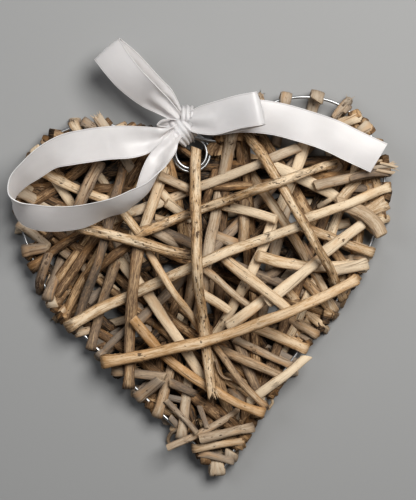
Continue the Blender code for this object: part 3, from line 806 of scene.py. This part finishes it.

# More twigs: width in squares, level in mm, tone (partly painted light and shade), warmth, bark, the two
# ends, then their squares
moreTwigs = {
    "left": [
        (9, 12, 0.65, -0.52, 0.3, "fold", "cut", (70, 119), (80, 137), (92, 164), (107, 189)),
        (9, 10, 0.03, -0.38, 0.3, "fold", "cut", (48, 131), (68, 139), (90, 152)),
        (7, 12, -0.11, -0.66, 0.2, "fold", "cut", (40, 139), (60, 153)),
        (8, 12, -0.46, -0.16, 0.2, "fray", "cut", (27, 155), (47, 161), (60, 176)),
        (9, 13, -0.22, -1.2, 0.2, "fold", "cut", (82, 120), (110, 141), (118, 150)),
        (10, 13, 1.6, -1.01, 0.2, "fray", "cut", (98, 117), (114, 140), (127, 164), (142, 179)),
        (8, 11, 0.19, -0.54, 0.3, "fold", "cut", (132, 122), (112, 130), (95, 142)),
        (9, 9, 0.99, -0.32, 0.1, "fray", "cut", (23, 186), (43, 197), (66, 212)),
        (12, 12, 0.9, -0.8, 0.2, "fray", "cut", (22, 194), (44, 205), (70, 213)),
        (9, 14, 0.68, -0.91, 0.3, "fold", "cut", (14, 222), (47, 246)),
        (12, 12, -0.04, -1.07, 0.4, "fold", "cut", (21, 251), (44, 248)),
        (8, 9, -0.58, -0.2, 0.2, "cut", "fold", (78, 270), (54, 305)),
        (8, 12, 0.31, -0.51, 0.3, "cut", "fray", (66, 303), (53, 321)),
        (10, 12, -0.44, -0.75, 0.7, "cut", "fray", (47, 255), (36, 292)),
        (9, 9, 0.64, -0.64, 0.2, "fold", "cut", (73, 334), (100, 327), (126, 320)),
        (10, 7, -1.2, -0.87, 0.2, "cut", "cut", (80, 308), (100, 292)),
        (9, 8, -1.42, 0.1, 0.2, "cut", "cut", (117, 308), (151, 323)),
        (14, 6, 1.21, -0.32, 0.1, "cut", "cut", (148, 292), (180, 324)),
        (8, 8, -0.79, -1.2, 0.2, "fold", "point", (98, 356), (124, 331)),
        (7, 7, -1.98, -0.86, 0.2, "fold", "point", (91, 346), (120, 330)),
        (12, 13, -0.32, -1.07, 0.2, "fold", "cut", (134, 401), (160, 380)),
        (6, 16, -0.45, -0.9, 0.4, "cut", "cut", (166, 402), (197, 433)),
        (7, 8, -1.99, -1.04, 0.2, "cut", "cut", (163, 399), (188, 404)),
        (9, 10, -1.31, -0.6, 0.2, "cut", "cut", (170, 385), (199, 398)),
        (6, 12, -1.17, -0.89, 0.2, "cut", "cut", (197, 403), (207, 428)),
        (9, 8, -0.59, -0.7, 0.1, "cut", "cut", (61, 252), (84, 270)),
        (9, 9, 0.3, 0.16, 0.1, "cut", "cut", (89, 248), (108, 259)),
        (9, 8, 1.49, 0.4, 0.1, "cut", "cut", (88, 271), (116, 291)),
    ],
    "middle": [
        (10, 9, 0.95, -0.45, 0.1, "cut", "cut", (166, 203), (190, 219)),
        (8, 8, 0.08, -0.39, 0.1, "cut", "cut", (153, 216), (170, 221)),
        (10, 9, 0.27, -0.81, 0.1, "cut", "cut", (152, 231), (182, 248)),
        (10, 9, 0.71, -0.25, 0.1, "cut", "cut", (156, 186), (171, 203)),
        (9, 22, 0.23, 0.11, 0.2, "cut", "cut", (119, 208), (138, 232)),
        (11, 13, 0.85, -0.15, 0.2, "cut", "cut", (104, 224), (132, 211)),
        (10, 8, -0.91, -0.3, 0.2, "cut", "cut", (150, 254), (192, 264)),
        (9, 8, -0.15, 0.28, 0.2, "cut", "cut", (140, 261), (158, 278)),
        (12, 7, -0.05, -0.22, 0.2, "cut", "cut", (211, 144), (257, 159)),
        (7, 13, -1.71, 0.1, 0.2, "cut", "cut", (177, 145), (191, 156)),
        (9, 5, -0.08, -0.74, 0.1, "cut", "cut", (224, 180), (248, 188)),
        (12, 9, 0.16, -0.78, 0.1, "cut", "cut", (210, 234), (243, 247)),
        (12, 8, -0.4, -0.49, 0.1, "cut", "cut", (246, 196), (243, 242)),
        (11, 14, 0.17, -0.81, 0.1, "cut", "cut", (260, 163), (299, 146)),
        (10, 9, -1.15, 0.12, 0.1, "cut", "cut", (295, 189), (304, 216)),
        (9, 8, -0.93, -0.64, 0.1, "cut", "cut", (299, 236), (313, 262)),
        (10, 10, -0.96, -0.7, 0.1, "cut", "cut", (262, 282), (285, 265)),
    ],
    "right": [
        (5, 14, 0.19, -0.85, 0.5, "fray", "cut", (261, 92), (267, 114)),
        (11, 9, 0.13, -1.01, 0.2, "fold", "cut", (288, 92), (284, 112), (277, 143)),
        (10, 15, 0.62, -0.45, 0.1, "fold", "cut", (370, 111), (338, 124), (314, 136)),
        (11, 15, 1.05, -0.82, 0.1, "fold", "cut", (375, 121), (352, 139), (330, 152)),
        (7, 15, -1.56, -0.62, 0.1, "fold", "cut", (393, 172), (369, 174), (352, 178)),
        (5, 16, 1.42, -1.2, 0.2, "fray", "cut", (392, 165), (376, 167)),
        (9, 7, -1.57, -0.7, 0.2, "fold", "cut", (385, 186), (356, 188)),
        (11, 7, -1.11, -0.75, 0.1, "cut", "cut", (316, 188), (342, 164)),
        (10, 9, 1.01, 0.03, 0.1, "cut", "cut", (312, 230), (352, 221)),
        (14, 14, 0.02, -0.4, 0.1, "fold", "cut", (393, 200), (366, 213)),
        (14, 17, -0.13, -0.6, 0.1, "cut", "cut", (338, 203), (352, 207), (366, 214), (377, 225), (382, 235)),
        (9, 16, 0.5, -1.2, 0.6, "fray", "cut", (351, 98), (336, 117)),
        (3, 17, 0.74, -0.66, 0.1, "point", "cut", (397, 166), (382, 163)),
        (3, 16, 0.4, -0.2, 0.1, "point", "cut", (391, 158), (380, 161)),
        (3.5, 16, -0.33, -0.73, 0.1, "point", "cut", (393, 172), (378, 170)),
        (2.6, 26, -0.56, -0.56, 0.0, "cut", "cut", (215.5, 362), (218, 372), (223.5, 378.5), (231.5, 380.5)),
        (3, 13, 0.52, -0.17, 0.1, "cut", "cut", (269, 396), (274, 404), (270, 412)),
        (9, 12, 0.69, 0.06, 0.2, "cut", "cut", (391, 218), (372, 222)),
        (6, 10, 1.06, -0.45, 0.1, "cut", "cut", (320, 205), (332, 199)),
        (11, 9, 0.93, -0.7, 0.1, "fold", "cut", (374, 253), (345, 244)),
        (12, 13, 1.43, -0.46, 0.1, "fold", "cut", (369, 263), (333, 272)),
        (7, 10, -0.42, -0.93, 0.1, "fold", "cut", (365, 258), (331, 259)),
        (11, 10, -0.47, -0.42, 0.2, "cut", "fray", (306, 281), (337, 317)),
        (9, 10, 0.37, 0.37, 0.2, "cut", "fray", (286, 289), (306, 312), (329, 332)),
        (6, 9, -0.22, -0.88, 0.2, "cut", "fold", (275, 321), (313, 342)),
        (4, 8, -0.93, -0.62, 0.1, "cut", "cut", (252, 335), (274, 359)),
        (6, 6, -1.91, -1.2, 0.1, "cut", "fold", (268, 348), (295, 361)),
        (8, 13, -0.28, -0.6, 0.4, "cut", "fray", (350, 289), (344, 305)),
        (9, 7, -0.1, -0.3, 0.2, "cut", "cut", (226, 377), (251, 386)),
        (10, 9, -0.52, -0.97, 0.1, "cut", "cut", (230, 391), (246, 406)),
    ],
    "tip": [
        (4, 9, 0.21, -0.87, 0.2, "cut", "cut", (178, 431), (171, 436), (168, 444), (172, 451)),
        (11, 7, -0.19, -0.24, 0.4, "cut", "cut", (173, 430), (181, 436)),
        (10, 9, 0.03, 0.12, 0.2, "cut", "cut", (216, 411), (220, 432)),
        (4, 10, 0.2, -0.5, 0.1, "cut", "cut", (222, 429), (246, 426)),
        (16, 9, 0.91, -0.71, 0.3, "cut", "fold", (216, 451), (218, 469)),
        (9, 9, -1.47, 0.1, 0.2, "cut", "fold", (206, 404), (238, 428)),
        (7, 9, -1.38, -0.97, 0.2, "cut", "fold", (170, 420), (186, 440)),
    ],
}

# Short twigs: their seeds, the steps and pitch of their middles, their taper, and the least width of a strip
shortLook = {"seed": 1000, "steps": 16, "pitch": 0.0012, "taper": (1.0, 0.9), "stripWidth": 0.006}


def threadTwig(shape, flat, halfWidth, level, style, rng, upward=False):
    # a twig along a line seen from above, its heights found from the weave, then added to the weave;
    # a wide one is a flat strip
    halfThickness = halfWidth * (flatness if halfWidth * 2 < shortLook["stripWidth"] else flatness / 2)
    style["thickness"] = halfThickness / halfWidth
    heights = weave.thread(flat, halfWidth, halfThickness, level)
    path = np.column_stack([flat, heights])
    weave.add(path, halfWidth, halfThickness)
    finishTwig(shape, path, np.array(shortLook["taper"]) * halfWidth, style, rng, upward)


def makeMoreTwigs():
    for group, (part, rows) in enumerate(moreTwigs.items()):
        shape = Shape()
        for index, (width, level, tone, warmth, bark, first, last, *squares) in enumerate(rows):
            rng = np.random.default_rng(shortLook["seed"] + 100 * group + index)
            style = {"tone": tone, "warmth": warmth, "bark": bark, "ends": [first, last]}
            flat = resample(smoothCurve(place(squares), shortLook["steps"]), shortLook["pitch"])
            threadTwig(shape, flat, width * sheet["square"] / 2, level / 1000, style, rng)
        shape.make("willow_short_" + part, finishes["willow"], "willow")


makeMoreTwigs()
print("short twigs made")

# Twigs of the lower layers, laid across from rim to rim where the weave is still open; their tones fall with
# depth to near black as painted shade, lifts are added to the tones of some of them, and they are painted
# paler near their ends
filler = {"count": 52, "upper": 26, "seed": 23, "chords": 6000, "levels": (8.0, 2.4), "shortest": 0.04,
          "widths": (8.0, 12.0), "tonesWithPaintedShade": ((-1.1, -0.5), (-3.2, -2.7)), "warmths": (-0.2, 0.1), "bow": 0.03,
          "fresh": 0.15, "rimTone": -0.5, "pitch": 0.0012, "barks": (0.1, 0.5), "upwardEvery": 3,
          "outlinePitch": 0.004, "chordSpan": (0.03, 0.97), "chordSpots": 30,
          "lifts": {0: 0.1, 2: 0.6, 3: 0.3, 5: 0.3, 6: 1.1, 7: 0.6, 8: 1.1, 10: 0.8, 11: 0.1, 12: 0.3,
                    13: 0.4, 14: 0.5, 15: 0.3, 16: 0.5, 18: 0.8, 19: 0.5, 20: 1.0, 21: 0.3, 22: 0.7,
                    23: 0.2, 24: 0.5, 25: 0.1}}

# Spots that the inner twigs keep off, as squares and reach: the bare stretches of the rim with the one open
# hole and the top of the eye, and the deep gaps that only the lowest twigs, painted near black as shade,
# cross
rimSpots = [
    (306, 100, 52), (375, 135, 9), (385, 180, 8), (373, 243, 10), (338, 303, 8), (295, 359, 11),
    (219, 473, 15), (169, 423, 10), (135, 389, 9), (102, 357, 9), (86, 340, 7), (23, 238, 10), (36, 272, 7),
    (43, 287, 7), (40, 144, 7), (64, 128, 7), (80, 126, 6), (112, 124, 6), (344, 228, 7),
    (187, 135, 18),
]
gapSpots = [
    (184, 157, 11), (205, 163, 12), (230, 225, 9), (283, 251, 7), (222, 315, 7), (147, 331, 7),
    (100, 166, 8), (50, 178, 6), (155, 270, 7), (265, 268, 7), (140, 352, 6), (330, 183, 6), (262, 330, 6),
]


def insideHeart(spots, outline):
    # even-odd rule: how many of the outline's edges lie beyond each spot
    start, end = outline, np.roll(outline, -1, axis=0)
    x, y = spots[..., None, 0], spots[..., None, 1]
    crosses = (start[:, 1] > y) != (end[:, 1] > y)
    rise = np.where(np.abs(end[:, 1] - start[:, 1]) < 1e-9, 1e-9, end[:, 1] - start[:, 1])
    meets = start[:, 0] + (y - start[:, 1]) * (end[:, 0] - start[:, 0]) / rise
    return (crosses & (x < meets)).sum(axis=-1) % 2 == 1


def clearOf(lines, spots):
    clear = np.ones(len(lines), bool)
    for across, down, reach in spots:
        gaps = np.linalg.norm(lines - place((across, down)), axis=-1)
        clear &= (gaps > reach * sheet["square"]).all(axis=1)
    return clear


def makeFillers():
    # random chords of the outline that stay inside it; each time the one that crosses the most open weave is
    # laid, bowed sideways by a parabola of the share along it
    rng = np.random.default_rng(filler["seed"])
    outline = resample(heartPath[:, [0, 1]], filler["outlinePitch"])
    start = outline[rng.integers(0, len(outline), filler["chords"])][:, None]
    end = outline[rng.integers(0, len(outline), filler["chords"])][:, None]
    shares = np.linspace(*filler["chordSpan"], filler["chordSpots"])
    chords = start + (end - start) * shares[:, None]
    whole = np.concatenate([start, chords, end], axis=1)
    kept = insideHeart(chords, outline).all(axis=1)
    kept &= clearOf(whole, rimSpots) & (np.linalg.norm(end - start, axis=-1)[:, 0] > filler["shortest"])
    start, end, chords, whole = start[kept], end[kept], chords[kept], whole[kept]
    offGaps = clearOf(whole, gapSpots)
    shapes = [Shape(), Shape()]
    for index in range(filler["count"]):
        best = np.argmax(weave.openShare(chords) * (offGaps | (index >= filler["upper"])))
        flat = resample(np.vstack([start[best], end[best]]), shortLook["pitch"])
        reach = end[best, 0] - start[best, 0]
        spread = np.linspace(0, 1, len(flat))
        bow = rng.uniform(-filler["bow"], filler["bow"]) * 4 * spread * (1 - spread)
        flat = flat + np.array([-reach[1], reach[0]]) * bow[:, None]
        halfWidth = rng.uniform(*filler["widths"]) * sheet["square"] / 2
        level = np.interp(index, [0, filler["count"] - 1], filler["levels"]) / 1000
        # painted shade: the lower a filler lies, the darker its tone, down to near black
        toned = np.interp(index, [0, filler["count"] - 1], [rng.uniform(*span) for span in filler["tonesWithPaintedShade"]])
        toned += filler["lifts"].get(index, 0)
        # paleEnds takes back some of the painted shade near each end, up to the rim tone
        style = {"tone": toned, "warmth": rng.uniform(*filler["warmths"]),
                 "bark": rng.uniform(*filler["barks"]), "ends": ["fold", "fold"], "fresh": filler["fresh"],
                 "pitch": filler["pitch"], "paleEnds": max(0, filler["rimTone"] - toned)}
        upward = index % filler["upwardEvery"] == 0 and index < filler["upper"]
        threadTwig(shapes[index % 2], flat, halfWidth, level, style, rng, upward)
    shapes[0].make("willow_inner_one", finishes["willow"], "back_willow")
    shapes[1].make("willow_inner_two", finishes["willow"], "back_willow")


makeFillers()
print("inner twigs made")

# The ribbon: its cloth, how it is seated and tied, and its folds; shares across it are of its half width
ribbon = {
    "width": 0.0150, "thickness": 0.00028, "lift": 0.0006, "cadThickness": 0.0005, "seatReach": 0.62,
    "seatSteps": 10, "knotSquare": (183, 123), "knotToEye": 0.0043, "knotHeight": 0.0080, "columns": 36,
    "steps": 24, "pitch": 0.0008, "seed": 77, "cup": 0.00035, "ripple": 0.00034,
    "rippleEvery": (0.062, 0.047), "pleatDepth": 0.42, "fullest": 2.2, "leastShare": 0.2, "shift": 0.6,
    "drift": 0.5, "driftEvery": 0.02, "seamFrom": 0.90, "hemFrom": 0.97, "hemThicker": 0.7,
    "turnShare": 0.36, "turnPleats": 2.8,
}

# Its runs: square, lift above its seat in mm, way of its width, tilt, ungathered share and, where it curls,
# the rise of its middle in mm
hangingLoop = [
    (180, 127, 0, 90, 0, 0.30), (163, 136, 1, 72, 0, 0.50), (149, 140, 2, 90, 0, 0.78),
    (131, 142, 3, 94, 0, 0.96), (108, 143, 3, 90, 0, 1.00), (86, 146, 3, 97, 5, 1.00),
    (66, 150, 4, 105, 24, 1.00), (48, 157, 6, 120, 44, 1.00), (31, 170, 7, 132, 52, 1.00),
    (18, 182, 7, 148, 60, 1.00), (12, 196, 7, 150, 80, 1.00), (16, 206, 7, 40, 72, 1.00),
    (29, 215, 7, 58, 45, 1.00), (51, 219, 7, 75, 40, 1.00), (80, 217, 7, 90, 48, 1.00),
    (105, 209, 8, 106, 61, 1.00), (119, 205, 8, 100, 61, 1.00, 0.3), (129, 200.2, 7.6, 82, 59, 1.00, 1.0),
    (136, 195.2, 7.4, 62, 59, 1.00, 2.0), (141, 189.8, 7, 43, 56, 1.00, 2.6),
    (145.8, 182.8, 6.4, 28, 47, 0.94, 2.4), (150.2, 175.6, 5.6, 16, 38, 0.87, 1.5),
    (155.2, 167, 4.6, 5, 25, 0.80, 0.6), (160.8, 157.5, 3.4, -4, 18, 0.74),
    (167, 148.2, 2.4, -14, 12, 0.60), (172.5, 140, 1.2, -24, 8, 0.40), (181, 130, 0, -45, 0, 0.30),
]
smallLoop = [
    (181, 118, 0, 45, 25, 0.30), (167, 101, -1, 48, 32, 0.68), (149, 86, -2, 46, 31, 0.95),
    (130, 66, -2, 45, 29, 0.96), (114, 53, -1, 41, 20, 0.98), (107, 49, 2, 39, 16, 1.00),
    (111, 55, 5, 38, 20, 1.00), (118, 65, 7, 41, 27, 1.00), (131, 80, 8, 45, 35, 1.00),
    (148, 95, 7, 53, 42, 1.00), (165, 107, 4, 62, 35, 0.66), (181, 120, 0, 70, 15, 0.30),
]
rightLoop = [
    (184, 121, 1, 90, 0, 0.50), (192, 121, 3, 90, 0, 0.66), (200, 120, 5, 90, 0, 0.84),
    (216, 118, 8.5, 92, 0, 1.00), (238, 112, 13, 95, 0, 1.00), (255, 109, 16, 101, 0, 1.00),
    (261, 108, 14.2, 102, 0, 1.00), (256, 110, 12.4, 101, 0, 1.00), (238, 115, 9, 96, 0, 1.00),
    (216, 120, 4, 92, 0, 0.94), (200, 122, 1, 90, 0, 0.70), (185, 123, -1, 90, 0, 0.45),
]
tailRun = [
    (184, 124, -2, 90, 0, 0.40), (204, 122, 0, 88, 0, 0.70), (226, 118, 1, 92, 0, 0.92),
    (252, 116, 1, 86, 0, 1.00), (277, 119, 1, 74, 0, 1.00), (303, 126, 2, 68, 0, 1.00),
    (330, 135, 3, 66, -3, 1.00), (355, 147, 3, 63, -4, 1.00), (379, 158, 2, 59, 0, 1.00),
]

# The three wraps of the knot and the small fold at its left
neckWrap = [
    (187, 107, -3.5, 0, 0, 0.38), (187, 109, 0.5, 0, 0, 0.36), (187, 113, 2.8, 0, 0, 0.34),
    (187, 117, 3.4, 0, 0, 0.34), (187, 121, 2.6, 0, 0, 0.36), (187, 125, -0.5, 0, 0, 0.38),
]
knotFace = [
    (170, 120, -3.5, 42, 0, 0.50), (172, 123, 0.8, 42, 0, 0.50), (176, 128, 3.8, 42, 0, 0.50),
    (181, 134, 4.0, 42, 0, 0.46), (185, 139, 1.5, 42, 0, 0.40), (188, 143, -3.0, 42, 0, 0.34),
]
knotSide = [
    (178, 117, -2.5, 52, 0, 0.40), (182, 121, 1.6, 52, 0, 0.40), (187, 127, 2.6, 52, 0, 0.38),
    (191, 133, 0.6, 52, 0, 0.36), (193, 138, -4.0, 52, 0, 0.34),
]
shortEnd = [
    (180, 122, 0, 90, 40, 0.24), (171, 122, 1, 96, 50, 0.36), (163, 124, 1, 110, 62, 0.50),
    (159, 127, 0, 150, 74, 0.55), (163, 130, -1, 60, 66, 0.50), (173, 130, -1, 84, 60, 0.36),
    (181, 128, -1, 90, 50, 0.24),
]

# The turn through the eye, in mm: reach from the eye's middle, height above the knot's middle or the wire's
eyeTurn = [
    (9.3, -1.3, "knot"), (5.2, -4.0, "knot"), (4.1, 1.4, "wire"), (5.1, -1.2, "wire"), (7.8, -2.2, "wire"),
    (10.5, -1.2, "wire"), (11.6, 1.4, "wire"), (13.5, 0.0, "knot"),
]


def eyeTurnRows(eye, outward, knotLevel):
    # from the knot down through the eye, under both of its wires and up outside it, back into the knot
    levels = {"knot": knotLevel, "wire": wireBase}
    middles = [[*(eye + outward * reach / 1000), levels[base] + height / 1000]
               for reach, height, base in eyeTurn]
    half = np.array([-outward[1], outward[0], 0]) * ribbon["width"] / 2 * ribbon["turnShare"]
    return np.array([[*middle, *half, ribbon["turnShare"], 0] for middle in middles])


def ribbonRows(rows, seat, knotCentre, tied):
    # middles, half-width vectors and shares of a run's rows; the tied ones move with the knot, and all draw
    # in towards the sheet's centre by their height, as the sheet is drawn from a camera's height
    rows = np.array([(*row, 0)[:7] for row in rows], float)
    middles = np.column_stack([place(rows[:, :2]), np.full(len(rows), seat)])
    middles[tied] += knotCentre - np.array([*place(ribbon["knotSquare"]), seat])
    middles[:, 2] += rows[:, 2] / 1000
    centre = place(stageLook["imageCentre"])
    drawn = (stageLook["distance"] - middles[:, 2:]) / (stageLook["distance"] - stageLook["planeLevel"])
    middles[:, :2] = centre + (middles[:, :2] - centre) * drawn
    way = np.radians(rows[:, 3]) - sheet["lean"]
    tilt = np.radians(rows[:, 4])
    halves = np.column_stack([np.cos(way) * np.cos(tilt), np.sin(way) * np.cos(tilt), np.sin(tilt)])
    return np.column_stack([middles, halves * rows[:, 5:6] * ribbon["width"] / 2, rows[:, 5],
                            rows[:, 6] / 1000])


def addRibbon(shape, table, rng, pleats):
    # a thin closed band: across it a slight cup, and pleats that take up the width that is gathered
    even = resample(smoothCurve(table, ribbon["steps"]), ribbon["pitch"])
    middle, half, share = even[:, :3], even[:, 3:6], np.clip(even[:, 6], ribbon["leastShare"], 1)
    cup = ribbon["cup"] + even[:, 7:]
    along = lengthsAlong(middle)
    tangent = unit(np.gradient(middle, axis=0))
    normal = unit(np.cross(tangent, half))
    across = np.linspace(-1, 1, ribbon["columns"] + 1)
    width = np.linalg.norm(half, axis=1) * 2
    depth = width / (math.tau * pleats) * 2 * np.sqrt(np.clip(1 / share - 1, 0, ribbon["fullest"]))
    shift = rng.uniform(-ribbon["shift"], ribbon["shift"])
    shift = shift + ribbon["drift"] * wander(rng, along, ribbon["driftEvery"])
    pleat = np.cos(math.pi * pleats * across[None, :] + shift[:, None])
    ripple = np.stack([wander(rng, along, every) for every in ribbon["rippleEvery"]], axis=1)
    waves = ripple[:, :1] * across[None, :] + ripple[:, 1:] * (1 - across[None, :] ** 2)
    lift = (depth[:, None] * ribbon["pleatDepth"] * pleat + cup * (1 - across[None, :] ** 2)
            + ribbon["ripple"] * waves)
    cloth = middle[:, None] + half[:, None] * across[None, :, None] + normal[:, None] * lift[..., None]
    faceNormal = unit(np.cross(np.gradient(cloth, axis=0), np.gradient(cloth, axis=1)))
    offset = np.abs(across)
    hem = (offset > ribbon["hemFrom"]).astype(float)
    seam = ((offset > ribbon["seamFrom"]) & (offset < ribbon["hemFrom"])).astype(float)
    skin = faceNormal * (ribbon["thickness"] / 2 * (1 + ribbon["hemThicker"] * hem))[None, :, None]
    ring = np.concatenate([cloth - skin, (cloth + skin)[:, ::-1]], axis=1)
    count, sides = ring.shape[:2]
    quads, rowAt, columnAt = gridFaces(count, sides)
    flat = np.concatenate([across, across[::-1]]) * ribbon["width"] / 2
    grain = np.stack([along[rowAt], flat[columnAt % sides]], axis=-1)
    strip = np.arange(len(across) - 1)
    last = (count - 1) * sides
    startCap = np.stack([strip, sides - 1 - strip, sides - 2 - strip, strip + 1], axis=-1)
    endCap = last + startCap[:, ::-1]
    caps = [np.stack([np.full(cap.shape, spot), flat[cap % sides]], axis=-1)
            for cap, spot in ((startCap, along[0]), (endCap, along[-1]))]
    shape.add(ring.reshape(-1, 3), [quads, startCap, endCap], [grain, *caps],
              edge=np.tile(np.concatenate([hem - seam, (hem - seam)[::-1]]), count))
    return along[-1]


def seatOf(rows):
    # just above the frame's own rods within reach of a run's middle line
    spots = smoothCurve(place([row[:2] for row in rows[1:-1]]), ribbon["seatSteps"])
    lines = [(resample(centres, weaving["samplePitch"]), widths.mean() * flatness)
             for centres, widths in rods.values()]
    middles = np.vstack([line for line, _ in lines])
    tops = middles[:, 2] + np.concatenate([np.full(len(line), half) for line, half in lines])
    gaps = np.linalg.norm(spots[:, None, :2] - middles[None, :, :2], axis=2)
    near = (gaps < ribbon["width"] * ribbon["seatReach"]).any(axis=0)
    return tops[near].max() + ribbon["lift"] + ribbon["cadThickness"]


def makeRibbon():
    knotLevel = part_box("wire_frame")[1].z + ribbon["lift"] + ribbon["knotHeight"] / 2
    eye = place(wire["eyeSquare"])
    outward = unit(place(ribbon["knotSquare"]) - eye)
    knotCentre = np.array([*(eye + outward * (wire["eyeOuter"] / 2 + ribbon["knotToEye"])), knotLevel])
    rng = np.random.default_rng(ribbon["seed"])
    shape = Shape()
    total = 0
    # each run's rows, the height of its seat, the rows that move with the knot, and its number of pleats
    runs = ((hangingLoop, seatOf(hangingLoop), [0, -1], 1.1), (smallLoop, knotLevel, [0, -1], 1.6),
            (rightLoop, knotLevel, [0, -1], 1.6), (tailRun, seatOf(tailRun), [0], 1.6),
            (neckWrap, knotLevel, slice(None), 2.6), (knotFace, knotLevel, slice(None), 2.8),
            (knotSide, knotLevel, slice(None), 2.2), (shortEnd, knotLevel, slice(None), 1.2))
    for rows, seat, tied, pleats in runs:
        total += addRibbon(shape, ribbonRows(rows, seat, knotCentre, tied), rng, pleats)
    total += addRibbon(shape, eyeTurnRows(eye, outward, knotLevel), rng, ribbon["turnPleats"])
    piece = shape.make("satin_ribbon", finishes["satin"], "white_satin", ["ribbon"])
    print("ribbon made, length", round(total, 3))


makeRibbon()


def makeStage():
    half = stageLook["size"] / 2
    mesh = bpy.data.meshes.new("floor")
    mesh.from_pydata([(-half, -half, 0), (half, -half, 0), (half, half, 0), (-half, half, 0)], [],
                     [(0, 1, 2, 3)])
    floor = addObject("floor", mesh)
    shader = Shader("pale floor", Roughness=stageLook["floorRoughness"])
    mesh.materials.append(shader.finish(Base_Color=stageLook["floor"]))
    world = bpy.data.worlds.new("studio")
    world.use_nodes = True
    world.node_tree.nodes["Background"].inputs["Color"].default_value = stageLook["skyColour"]
    world.node_tree.nodes["Background"].inputs["Strength"].default_value = stageLook["skyStrength"]
    bpy.context.scene.world = world


def addLight(name, spot, size, power, colour):
    # a round area light that faces the middle of the floor
    light = bpy.data.lights.new(name, "AREA")
    light.shape = "DISK"
    light.size = size
    light.energy = power
    light.color = colour
    lamp = addObject(name, light)
    lamp.location = spot
    lamp.rotation_euler = (math.atan2(math.hypot(spot[0], spot[1]), spot[2]), 0,
                           math.atan2(spot[1], spot[0]) + math.pi / 2)


def makeCamera():
    lens = bpy.data.cameras.new("camera")
    gap = stageLook["distance"] - stageLook["planeLevel"]
    lens.sensor_width = stageLook["sensorWidth"]
    lens.lens = stageLook["sensorWidth"] * gap / stageLook["fieldHeight"]
    lens.clip_start = stageLook["clipStart"]
    camera = addObject("camera", lens)
    camera.location = (*place(stageLook["imageCentre"]), stageLook["distance"])
    camera.rotation_euler = (0, 0, -sheet["lean"])
    bpy.context.scene.camera = camera


makeStage()
for lightName, lightValues in lights.items():
    addLight(lightName, *lightValues)
makeCamera()
bpy.context.scene.view_settings.view_transform = stageLook["transform"]
bpy.context.scene.view_settings.look = stageLook["contrast"]
print("stage made")
